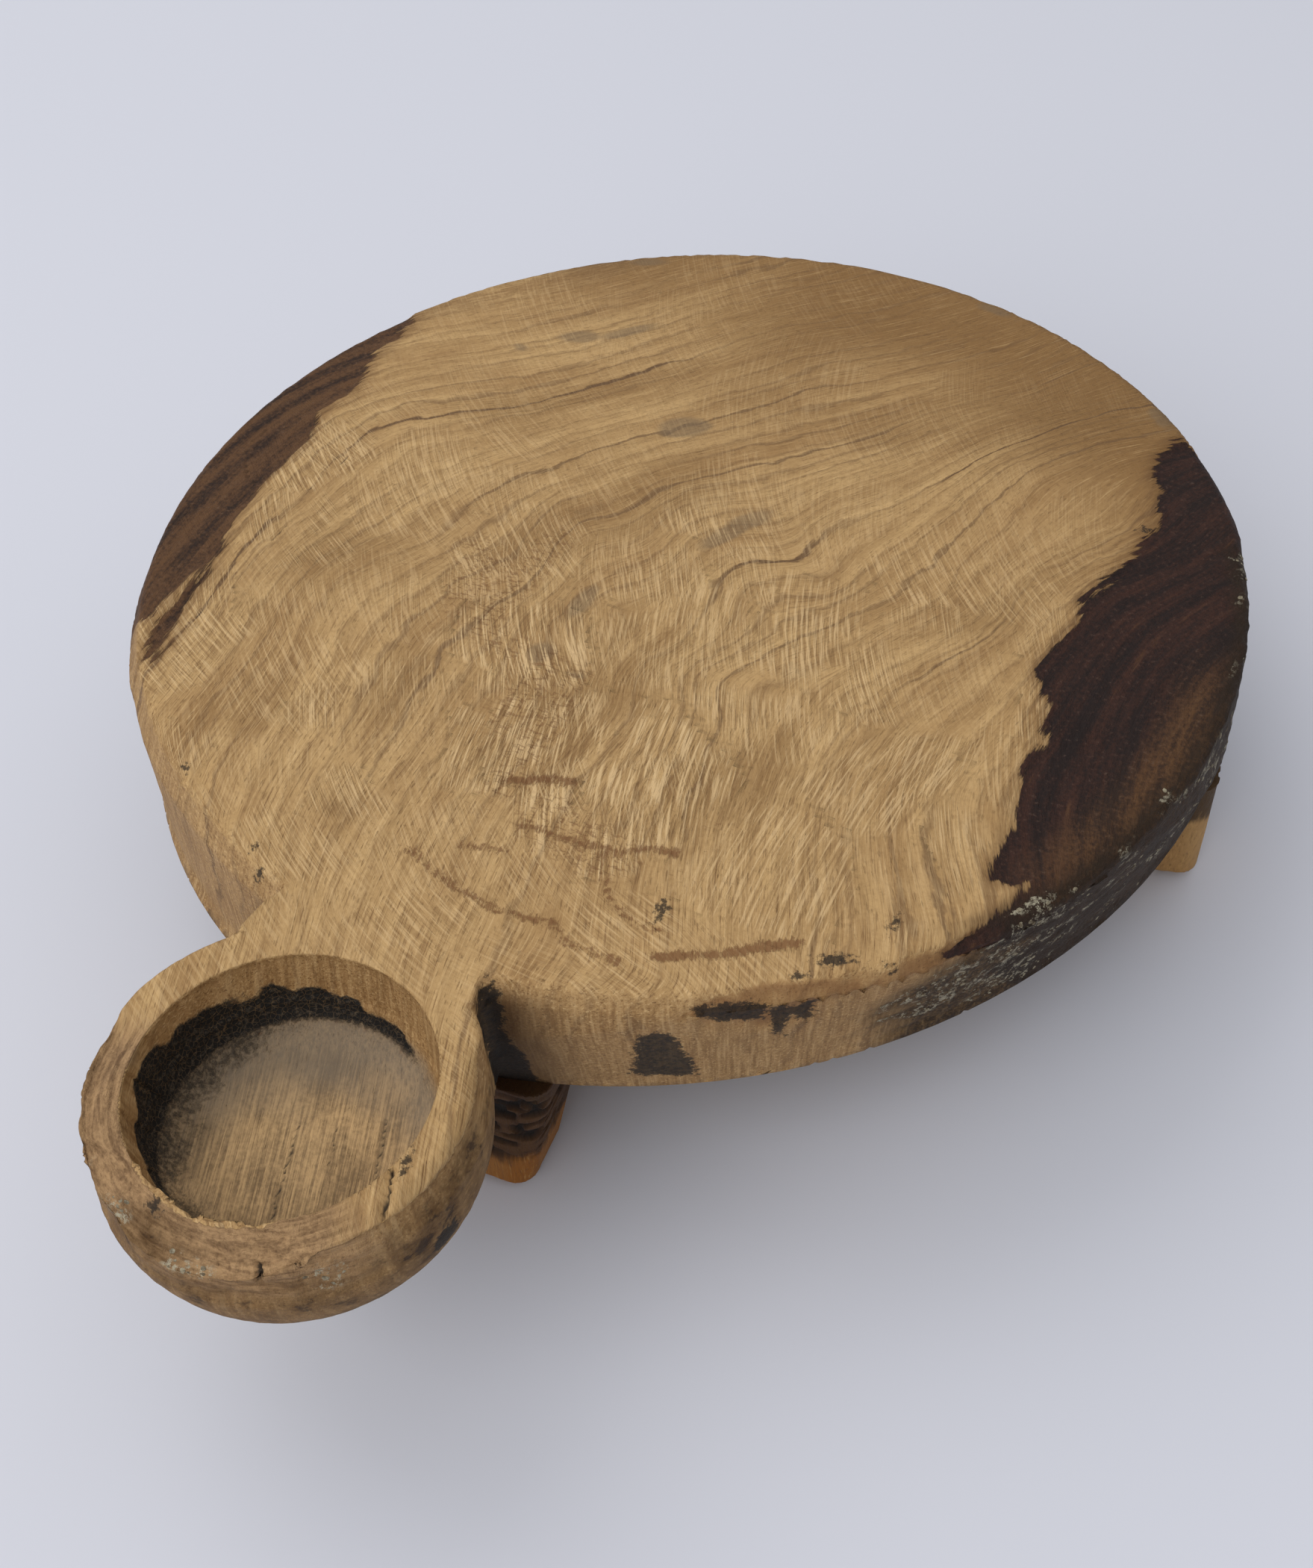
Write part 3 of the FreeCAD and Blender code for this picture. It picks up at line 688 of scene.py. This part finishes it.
wood_fibres.links.new(plus(fray, -0.5), result["Fray"])
wood_fibres.links.new(plus(fibre, times(pores, -0.5)), result["Height"])

# Torn edge: the border of a mark, frayed along the fibres
torn_edge, given, result = new_group(
    "torn_edge", {"Depth": "Float", "Fray": "Float", "Reach": "Float", "Softness": "Float"}, {"Share": "Float"}
)
frayed = plus(given["Depth"], times(given["Fray"], given["Reach"]))
torn_edge.links.new(step(frayed, times(given["Softness"], -1.0), given["Softness"]), result["Share"])


def torn_share(depth, fray, reach, softness):
    """1 inside a mark and 0 outside it, from the depth inside its border and a fray of up to `reach` mm."""
    inputs = {"Depth": depth, "Fray": fray, "Reach": reach, "Softness": softness}
    return use_group(depth.id_data, torn_edge, inputs)["Share"]


# Scraper marks: fine broken lines side by side, pale ridges and dark furrows whose darkness is painted shade, from
# their place and strength
scraper_marks, given, result = new_group(
    "scraper_marks", {"Marks": "Vector", "Per mm": "Float"}, {"Ridge": "Float", "Furrow shade": "Float"}
)
marks = parts(given["Marks"])
line_place = wire(scraper_marks, "CombineXYZ", {0: times(marks["X"], given["Per mm"]), 1: times(marks["Y"], 0.075)})
line_noise = wire(scraper_marks, "TexNoise", {"Vector": line_place, "Scale": 1.0, "Detail": 2.0, "Roughness": 0.6})
ridge = times(step(line_noise, 0.5, 0.62), marks["Z"])
furrow_shade = times(step(line_noise, 0.46, 0.36), marks["Z"])
scraper_marks.links.new(ridge, result["Ridge"])
scraper_marks.links.new(furrow_shade, result["Furrow shade"])

PALE_WOOD = colour(194, 158, 107)
TAN_WOOD = colour(162, 126, 81)
AGED_WOOD = colour(134, 100, 59)
GROWTH_LINE = colour(102, 76, 51)
FIBRE_LIGHT = colour(207, 173, 124)
FIBRE_AND_SHADE_DARK = colour(118, 85, 50)
SCRAPED = colour(220, 187, 138)
SKIN_DARK = colour(34, 23, 20)
SKIN_RED = colour(64, 38, 28)
SKIN_OCHRE = colour(104, 73, 42)
SKIN_BROWN = colour(100, 70, 44)
SKIN_DUST = colour(92, 78, 68)
SOOT_AND_SHADE_BLACK = colour(28, 26, 24)
KNIFE_AND_SHADOW_BROWN = colour(108, 68, 38)
BRUISE_GREY = colour(118, 98, 74)
CRUST_PALE = colour(178, 170, 146)
CUP_GREY = colour(116, 94, 66)
CUP_BROWN = colour(198, 163, 116)
FLOOR_GREY = colour(122, 112, 98)
GRIME_AND_SHADE_BROWN = colour(80, 55, 27)
LEDGE_TAN = colour(150, 112, 70)
LIP_DARK = colour(98, 71, 47)
LIP_PALE = colour(176, 141, 101)
WALL_BROWN = colour(152, 116, 74)
NOTCH_SHADE = colour(66, 43, 25)
BARK = colour(44, 31, 19)
SOOT_DUST = colour(70, 62, 52)


def new_material(name, gloss=0.2):
    """A material, its node tree, and the inputs of its surface."""
    material = bpy.data.materials.new(name)
    material.use_nodes = True
    surface = material.node_tree.nodes["Principled BSDF"].inputs
    surface["Specular IOR Level"].default_value = gloss
    return material, material.node_tree, surface


board_wood, tree, surface = new_material("scraped_board_wood")
grain_place = read(tree, "grain", "Vector")
object_place = wire(tree, "TexCoord", {}, output="Object")
spot = wire(
    tree, "VectorMath", {0: object_place, 1: (1 / MM,) * 3, 2: tuple(-FACE_CENTRE)}, operation="MULTIPLY_ADD"
)
grit = bumps(spot, (0.9, 0.9, 0.9), detail=3, roughness=0.7)
grit_swing = plus(grit, -0.5)

# Bare wood: pale where the scraper went, browner towards the back and on the rim, with veins and fibres
tone = parts(read(tree, "tones", "Vector"))
wood = paint(tone["X"], PALE_WOOD, TAN_WOOD)
wood = paint(tone["Y"], wood, AGED_WOOD)
wall = read(tree, "wall")
wood = paint(times(wall, 0.6), wood, WALL_BROWN)
vein = parts(read(tree, "veins", "Vector"))
jag = bumps(grain_place, (0.5, 0.22, 0.4), detail=3, roughness=0.65)
vein_count = plus(vein["X"], times(plus(jag, -0.5), 0.45))
nearest_count = wire(tree, "Math", {0: vein_count}, operation="ROUND")
off_vein = wire(tree, "Math", {0: vein_count, 1: nearest_count}, operation="SUBTRACT")
off_vein = times(wire(tree, "Math", {0: off_vein}, operation="ABSOLUTE"), vein["Y"])
lines = times(step(off_vein, 0.2, 0.85, 1.0, 0.0), vein["Z"])
year = wire(tree, "Math", {0: vein_count}, operation="FRACT")  # each year's growth pales away from its line
wood = paint(step(year, 0.0, 0.85, 0.34, 0.0), wood, AGED_WOOD)
wood = paint(lines, wood, GROWTH_LINE)
figure = use_group(
    tree, wood_fibres,
    {
        "Grain": grain_place, "Wood": wood, "Light": FIBRE_LIGHT, "Dark": FIBRE_AND_SHADE_DARK,
        "Strength": read(tree, "fibrous"),
    },
)
wood = figure["Color"]
fibre_swing = plus(figure["Fibre"], -0.5)
wood = paint(step(grit, 0.42, 0.7, 0.0, 0.22), wood, FIBRE_AND_SHADE_DARK)
sawn = bumps(read(tree, "round_rim", "Vector"), (1.2, 0.07, 1.0), detail=2, roughness=0.6)
wood = paint(times(step(sawn, 0.5, 0.7), times(wall, 0.5)), wood, FIBRE_AND_SHADE_DARK)
wood = paint(times(step(sawn, 0.5, 0.3), times(wall, 0.35)), wood, FIBRE_LIGHT)
bruised = step(read(tree, "bruises"), -0.5, 1.0)
wood = paint(times(bruised, 0.6), wood, BRUISE_GREY)
rubbed = step(tone["Y"], 0.2, 0.9, 1.0, 0.45)
wide = use_group(tree, scraper_marks, {"Marks": read(tree, "marks_wide", "Vector"), "Per mm": 1.5})
fine = use_group(tree, scraper_marks, {"Marks": read(tree, "marks_fine", "Vector"), "Per mm": 2.4})
# Painted shade: the scraper furrows are darkened
furrow_shade = larger(wide["Furrow shade"], times(fine["Furrow shade"], 0.8))
wood = paint(times(furrow_shade, times(rubbed, 0.58)), wood, FIBRE_AND_SHADE_DARK)
scratch = larger(wide["Ridge"], times(fine["Ridge"], 0.8))
wood = paint(times(scratch, times(rubbed, 0.78)), wood, SCRAPED)

# Knife chatter and dashes
stroke_depth = plus(read(tree, "strokes"), times(grit_swing, 2.4))
chatter = torn_share(stroke_depth, fibre_swing, 5.0, 0.5)
dash = bumps(spot, (0.5, 1.2, 0.6), detail=2, roughness=0.65, distortion=0.5)
dashed = times(step(dash, 0.53, 0.62), step(read(tree, "dashes"), -4.0, 2.5))
pitted = times(step(dash, 0.66, 0.74), step(read(tree, "dashes"), -45.0, -15.0))
dashed = larger(dashed, times(pitted, 0.6))
chatter = larger(chatter, times(dashed, 0.6))
wood = paint(times(chatter, 0.75), wood, KNIFE_AND_SHADOW_BROWN)

# Torn ledge with a painted shadow line under its edge, painted shade by the notch, the weathered lip, the cup, and its
# soot with painted shade on the left
ledge_depth = read(tree, "ledge")
ledge = torn_share(ledge_depth, figure["Fray"], 3.0, 0.4)
wood = paint(times(ledge, 0.55), wood, LEDGE_TAN)
# Painted shadow: a thin dark band just under the ledge's edge
shadow_under_ledge = times(step(ledge_depth, 0.1, 0.9), step(ledge_depth, 3.0, 1.2))
wood = paint(times(shadow_under_ledge, 0.4), wood, KNIFE_AND_SHADOW_BROWN)
# Painted shade on the rim wall by the notch
wood = paint(times(read(tree, "notch_shade"), 0.8), wood, NOTCH_SHADE)
weathered = step(read(tree, "lip"), -1.0, 4.0)
lip_fibre = bumps(read(tree, "round_bowl", "Vector"), (0.1, 0.75, 0.75), detail=4, roughness=0.72)
lip_tone = plus(times(plus(lip_fibre, -0.5), 2.8), times(grit_swing, 1.4))
lip_colour = paint(step(lip_tone, -0.7, 0.7), LIP_DARK, LIP_PALE)
lip_colour = paint(step(lip_tone, -0.55, -0.9, 0.0, 0.7), lip_colour, SKIN_DARK)
wood = paint(times(weathered, 0.9), wood, lip_colour)
blotch = bumps(spot, (0.11, 0.11, 0.11), detail=2)
cup_tone = plus(figure["Fray"], times(fibre_swing, 2.2))
cup_tone = plus(cup_tone, times(plus(plus(grit, blotch), -1.0), 1.1))
cup_colour = paint(step(cup_tone, -0.6, 0.6), CUP_GREY, CUP_BROWN)
cup_colour = paint(times(read(tree, "floor_grey"), 0.75), cup_colour, FLOOR_GREY)
cup_floor = step(parts(spot)["Z"], -12.0, -18.0)
wood = paint(times(read(tree, "cup"), times(cup_floor, 0.9)), wood, cup_colour)
wood = paint(times(read(tree, "cut_edge"), 0.6), wood, KNIFE_AND_SHADOW_BROWN)
# Soot and grease in the cup, with painted shade on its left wall and floor
soot_and_shade_share = step(plus(read(tree, "soot_and_shade"), times(grit_swing, 1.1)), 0.15, 0.75)
crackle = wire(tree, "TexVoronoi", {"Vector": spot, "Scale": 0.85}, feature="DISTANCE_TO_EDGE")
soot_and_shade_share = times(soot_and_shade_share, step(crackle, 0.01, 0.06, 0.78, 1.0))
soot_and_shade_colour = paint(step(grit, 0.5, 0.68), SOOT_AND_SHADE_BLACK, SOOT_DUST)
wood = paint(soot_and_shade_share, wood, soot_and_shade_colour)

# Grime, partly painted shade, and mould on the outside of the bowl
grimy_and_shaded = times(read(tree, "grime_and_shade"), step(plus(grit, tone["Z"]), 0.1, 0.75, 0.75, 0.98))
grimy_and_shaded = times(grimy_and_shaded, step(lip_fibre, 0.3, 0.6, 1.0, 0.8))
mould = bumps(spot, (0.15, 0.15, 0.24), detail=4, roughness=0.7)
wood = paint(times(grimy_and_shaded, step(mould, 0.42, 0.62, 1.0, 0.6)), wood, GRIME_AND_SHADE_BROWN)
wood = paint(times(read(tree, "grime_and_shade"), step(mould, 0.44, 0.34, 0.0, 0.7)), wood, SKIN_DARK)

# Old skin: dark, with red and ochre streaks along the grain, and half scraped through at its border
skin_depth = read(tree, "skin")
half_scraped = torn_share(plus(skin_depth, 2.2), figure["Fray"], 14.0, 2.2)
wood = paint(times(half_scraped, 0.55), wood, SKIN_OCHRE)
skin_share = torn_share(skin_depth, figure["Fray"], 8.0, 0.4)
streak = plus(times(tone["Z"], 0.7), times(figure["Fray"], 1.6))
mottle = plus(streak, times(grit_swing, 1.6))
skin_colour = paint(step(mottle, -0.5, 0.7), SKIN_DARK, SKIN_RED)
left_side = step(parts(spot)["X"], 0, -60)
left_streak = step(mottle, -0.7, 0.5, 0.1, 0.95)
skin_colour = paint(times(left_side, left_streak), skin_colour, SKIN_BROWN)
skin_colour = paint(step(streak, 0.3, 0.7, 0.0, 0.5), skin_colour, SKIN_OCHRE)
edge_streak = step(mottle, -0.4, 0.5, 0.15, 0.7)
skin_colour = paint(times(read(tree, "bark_edge"), edge_streak), skin_colour, SKIN_OCHRE)
skin_colour = paint(step(grit, 0.58, 0.75, 0.0, 0.4), skin_colour, SKIN_DUST)
wood = paint(skin_share, wood, skin_colour)

# Black stains and the notch's painted shade, cracks and the crust
# Black stains, with the notch's crevice painted black as shade
stain_edge = times(plus(grit_swing, times(figure["Fray"], 0.6)), 5.0)
stain_and_notch_shade = step(plus(read(tree, "stains_and_notch_shade"), stain_edge), -0.4, 0.6)
wood = paint(times(stain_and_notch_shade, step(grit, 0.3, 0.7, 0.97, 0.8)), wood, SOOT_AND_SHADE_BLACK)
cracked = step(read(tree, "crack"), -0.25, 0.2)
wood = paint(times(cracked, 0.9), wood, SOOT_AND_SHADE_BLACK)
crust_field = step(read(tree, "crust"), -2.0, 3.0)
wood = paint(times(step(grit, 0.4, 0.65, 0.97, 0.72), crust_field), wood, BARK)
lichen = bumps(spot, (0.38, 0.38, 0.38), detail=6, roughness=0.8)
flecks = times(step(lichen, 0.52, 0.58), step(read(tree, "flaky"), 0.0, 3.0))
wood = paint(times(flecks, step(grit, 0.35, 0.65, 0.45, 0.9)), wood, CRUST_PALE)

# Relief finer than the mesh
rough_skin = larger(larger(skin_share, soot_and_shade_share), larger(weathered, crust_field))
relief = times(figure["Height"], 0.6)
for layer, rise in ((scratch, 0.3), (furrow_shade, -0.3), (lines, -0.2), (chatter, -0.4), (times(rough_skin, grit), 1.6)):
    relief = plus(relief, times(layer, rise))
tree.links.new(wire(tree, "Bump", {"Height": relief, "Distance": 0.35 * MM, "Strength": 0.9}), surface["Normal"])
tree.links.new(wood, surface["Base Color"])
tree.links.new(step(figure["Fibre"], 0.3, 0.7, 0.62, 0.8), surface["Roughness"])
board.data.materials.append(board_wood)
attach(board, "root")
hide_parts("board_with_bowl")

# Rim crust: small flat flakes of pale mineral left in the old bark of the right edge and on the bowl's front.
# They lie roughly along the rim, in clumps, thickest where the bark meets the scraped face.
crust_mineral, tree, surface = new_material("crust_mineral")
object_place = wire(tree, "TexCoord", {}, output="Object")
cloud = bumps(object_place, (700, 700, 700), detail=3, roughness=0.7)
mineral = paint(step(cloud, 0.35, 0.65), colour(92, 80, 62), colour(154, 145, 122))
tree.links.new(mineral, surface["Base Color"])
tree.links.new(step(cloud, 0.3, 0.7, 0.7, 0.95), surface["Roughness"])

flake_tree = bpy.data.node_groups.new("scattered_flakes", "GeometryNodeTree")
flake_inputs = {
    "Ground": ("Geometry", None), "Flakes per square mm": ("Float", 0.5), "Longest flake": ("Float", 1.6),
    "Seed": ("Int", 4), "Board centre": ("Vector", tuple(FACE_CENTRE * MM)), "Mineral": ("Material", crust_mineral),
}
flake_sockets = {
    label: flake_tree.interface.new_socket(label, in_out="INPUT", socket_type="NodeSocket" + kind).identifier
    for label, (kind, _) in flake_inputs.items()
}
flake_tree.interface.new_socket("Flakes", in_out="OUTPUT", socket_type="NodeSocketGeometry")
given = flake_tree.nodes.new("NodeGroupInput").outputs
result = flake_tree.nodes.new("NodeGroupOutput").inputs


def grow(kind, inputs, output=0, prefix="GeometryNode", **settings):
    """Add a node to the flake tree and give back one of its outputs."""
    return wire(flake_tree, kind, inputs, output, prefix, **settings)


flaky_here = grow("InputNamedAttribute", {"Name": "flaky"}, data_type="FLOAT")
thickness_of_flakes = wire(flake_tree, "MapRange", {0: flaky_here, 1: 0.5, 2: 5.0, 3: 0.0, 4: 1 / MM**2})
density = times(thickness_of_flakes, given["Flakes per square mm"])
points = grow(
    "DistributePointsOnFaces", {"Mesh": given["Ground"], "Density": density, "Seed": given["Seed"]}, output=None
)
here = grow("InputPosition", {})
from_centre = wire(flake_tree, "VectorMath", {0: here, 1: given["Board centre"]}, operation="SUBTRACT")
round_the_rim = wire(flake_tree, "VectorMath", {0: (0, 0, 1), 1: from_centre}, operation="CROSS_PRODUCT")
WANDER = 0.15
wander = grow(
    "RandomValue", {0: (-WANDER,) * 3, 1: (WANDER,) * 3, "Seed": 11}, prefix="FunctionNode", data_type="FLOAT_VECTOR"
)
lie = wire(flake_tree, "VectorMath", {0: round_the_rim, 1: wander}, operation="ADD")
rotation = grow(
    "AlignRotationToVector", {"Rotation": points["Rotation"], "Vector": lie},
    prefix="FunctionNode", axis="X", pivot_axis="Z",
)
share = grow("RandomValue", {2: 0.0, 3: 1.0, "Seed": 12}, output=1, prefix="FunctionNode", data_type="FLOAT")
share = wire(flake_tree, "Math", {0: share, 1: 2.6}, operation="POWER")  # most of them are small
share = wire(flake_tree, "MapRange", {0: share, 1: 0.0, 2: 1.0, 3: 0.22 * MM, 4: MM})
length = times(share, given["Longest flake"])
flake_size = wire(flake_tree, "VectorMath", {0: (1.0, 0.72, 0.24), "Scale": length}, operation="SCALE")
flake = grow("MeshIcoSphere", {"Radius": 0.5, "Subdivisions": 1})
flakes = grow(
    "InstanceOnPoints", {"Points": points["Points"], "Instance": flake, "Rotation": rotation, "Scale": flake_size}
)
flakes = grow("RealizeInstances", {"Geometry": flakes})
flakes = grow("SetMaterial", {"Geometry": flakes, "Material": given["Mineral"]})
flake_tree.links.new(flakes, result["Flakes"])

rim_crust = new_object("rim_crust", board.data)
scatter = rim_crust.modifiers.new("scattered_flakes", "NODES")
scatter.node_group = flake_tree
for label, (_, value) in flake_inputs.items():
    if value is not None:
        scatter[flake_sockets[label]] = value
settle(rim_crust)
flake_corners = corners_of(rim_crust.data)
flake_corners[:, 2] = np.minimum(flake_corners[:, 2], (FACE_CENTRE[2] - 0.05) * MM)  # none stands above the face
move_corners(rim_crust.data, flake_corners)
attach(rim_crust, "root")

# Legs: four short tapered blocks of the same wood, whittled round and let into mortises under the board.
# The front one is black and worm-eaten up its outer face; the right one is paler and cleaner.
LEG_OUTER_RADIUS = 125.1
LEG_HEIGHT = 39.0
LEGS = {  # turn from the bowl towards +X in degrees, square in mm, share of black, share of pale clean wood
    "front_leg": (6, 0.6, 1.0, 0.1),
    "right_leg": (105, 0.9, 0.0, 1.0),
    "back_leg": (186, 0.9, 0.2, 0.5),
    "left_leg": (285, 0.9, 0.4, 0.3),
}
LEG_GOLD = colour(146, 90, 32)
LEG_PALE = colour(178, 138, 86)
LEG_LIGHT = colour(208, 168, 112)
LEG_DARK = colour(116, 78, 42)
LEG_BLACK = colour(34, 22, 16)
LEG_RIDGE = colour(96, 66, 38)

leg_wood, tree, surface = new_material("whittled_leg_wood")
wood = paint(read(tree, "paleness"), LEG_GOLD, LEG_PALE)
figure = use_group(
    tree, wood_fibres,
    {"Grain": read(tree, "grain", "Vector"), "Wood": wood, "Light": LEG_LIGHT, "Dark": LEG_DARK, "Strength": 0.6},
)
blackened = torn_share(read(tree, "black"), figure["Fray"], 8.0, 2.5)
wood = paint(times(blackened, 0.85), figure["Color"], LEG_BLACK)
wood = paint(times(read(tree, "ridge"), 0.6), wood, LEG_RIDGE)
wood = paint(times(read(tree, "worm"), 0.9), wood, SOOT_AND_SHADE_BLACK)
whittling = wire(tree, "Bump", {"Height": figure["Height"], "Distance": 0.3 * MM, "Strength": 0.8})
tree.links.new(wood, surface["Base Color"])
tree.links.new(step(figure["Fibre"], 0.3, 0.7, 0.55, 0.75), surface["Roughness"])
tree.links.new(whittling, surface["Normal"])

for leg_name, (turn, square, blackness, paleness) in LEGS.items():
    leg, leg_cad = even_copy(leg_name, leg_name + "_wood", square)
    draw_to(leg.data, leg_cad, 0.4 * square)
    corners = corners_of(leg.data) / MM
    turn = math.radians(turn)
    from_axis = corners[:, :2] - FACE_CENTRE[:2]
    out = from_axis @ np.array([math.sin(turn), -math.cos(turn)]) - LEG_OUTER_RADIUS  # 0 on the leg's outer face
    side = from_axis @ np.array([math.cos(turn), math.sin(turn)])
    up = corners[:, 2]
    leg_grain = np.column_stack([side + 60 * turn, up, out])
    outer_face = ease(out, -18, -10) * blackness
    tunnels = unevenness(leg_grain, (6, 1.9, 6), 31) + 0.5 * unevenness(leg_grain, (2.6, 1.2, 3), 32)
    eaten = outer_face * ease(up, 11, 17) * ease(-up, -38, -35) * ease(-side, -17, -14)
    worm = ease(tunnels, 0.05, 0.3) * eaten
    worm = np.maximum(worm, outer_face * ease(1 - np.hypot((side - 1) / 1.1, (up - 15) / 4), 0, 0.4))
    ridge = ease(-tunnels, 0.0, 0.35) * eaten
    whittled = 0.3 + 0.22 * unevenness(leg_grain, (8, 30, 8), 33) + 0.06 * unevenness(leg_grain, (2, 12, 2), 34)
    sink = np.where((up > LEG_HEIGHT - 0.3) | (up < 0.1), 0, np.clip(whittled + 1.3 * worm, 0, 2))
    move_corners(leg.data, (corners - outward(leg.data) * sink[:, None]) * MM)
    leg.data.shade_smooth()
    black = np.minimum(up - 12, out + 24) - 14 * (1 - blackness) + 3 * unevenness(leg_grain, 5, 35)
    leg_paleness = np.clip(paleness + 0.35 * unevenness(leg_grain, (5, 30, 7), 36), 0, 1)
    leg_fields = {"grain": leg_grain, "black": black, "worm": worm, "ridge": ridge, "paleness": leg_paleness}
    for name, values in leg_fields.items():
        keep_on_corners(leg.data, name, values)
    leg.data.materials.append(leg_wood)
    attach(leg, "root")
    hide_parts(leg_name)

# Floor, light and camera: a plain pale floor, soft light from a window and from the front, and the photograph's
# viewing angle. Where the room itself is seen, it is a plain pale grey.
floor_mesh = bpy.data.meshes.new("floor")
floor_shape = bmesh.new()
bmesh.ops.create_grid(floor_shape, x_segments=1, y_segments=1, size=6.0)
floor_shape.to_mesh(floor_mesh)
floor_shape.free()
floor = new_object("floor", floor_mesh)
floor_paint, _, surface = new_material("pale_floor", gloss=0.5)
surface["Base Color"].default_value = colour(211, 212, 220)
surface["Roughness"].default_value = 0.9
floor_mesh.materials.append(floor_paint)

scene = bpy.context.scene
scene.view_settings.view_transform = "Standard"
world = bpy.data.worlds.new("soft_room")
world.use_nodes = True
sky = world.node_tree
overhead = parts(wire(sky, "TexCoord", {}, output="Generated"))["Z"]
brightness = wire(sky, "MapRange", {0: overhead, 1: 0.0, 2: 1.0, 3: 0.2, 4: 0.85})  # brighter overhead than low down
ray = wire(sky, "LightPath", {}, output=None)
seen = larger(larger(ray["Is Camera Ray"], ray["Is Glossy Ray"]), ray["Is Transmission Ray"])
brightness = wire(sky, "Mix", {0: seen, 2: brightness, 3: 0.6}, data_type="FLOAT")  # pale where it is seen
sky.links.new(brightness, sky.nodes["Background"].inputs["Strength"])
sky.nodes["Background"].inputs["Color"].default_value = (0.94, 0.96, 1.0, 1.0)
scene.world = world

LAMPS = {  # place in metres, side length in metres, watts
    "window": ((-1.1, 0.3, 1.8), 1.5, 10.0),
    "front": ((-0.3, -1.7, 1.4), 1.7, 21.0),
}
for name, (lamp_place, side, watts) in LAMPS.items():
    lamp = bpy.data.lights.new(name, "AREA")
    lamp.size = side
    lamp.energy = watts
    lamp_object = new_object(name, lamp)
    lamp_object.location = lamp_place
    lamp_object.rotation_euler = (-Vector(lamp_place)).to_track_quat("-Z", "Y").to_euler()

CAMERA_PLACE = Vector((174.75, -272.4, 378.6)) * MM
LOOKS_AT = Vector((28.98, -31.0, 78.0)) * MM
CAMERA_ROLL = math.radians(-4.26)
camera_data = bpy.data.cameras.new("camera")
camera_data.lens = 46.29
camera_data.sensor_width = 36.0
camera_data.clip_start = 0.01
camera = new_object("camera", camera_data)
camera.location = CAMERA_PLACE
camera.rotation_euler = (LOOKS_AT - CAMERA_PLACE).to_track_quat("-Z", "Y").to_euler()
camera.rotation_euler.rotate_axis("Z", CAMERA_ROLL)
scene.camera = camera

bpy.context.view_layer.update()
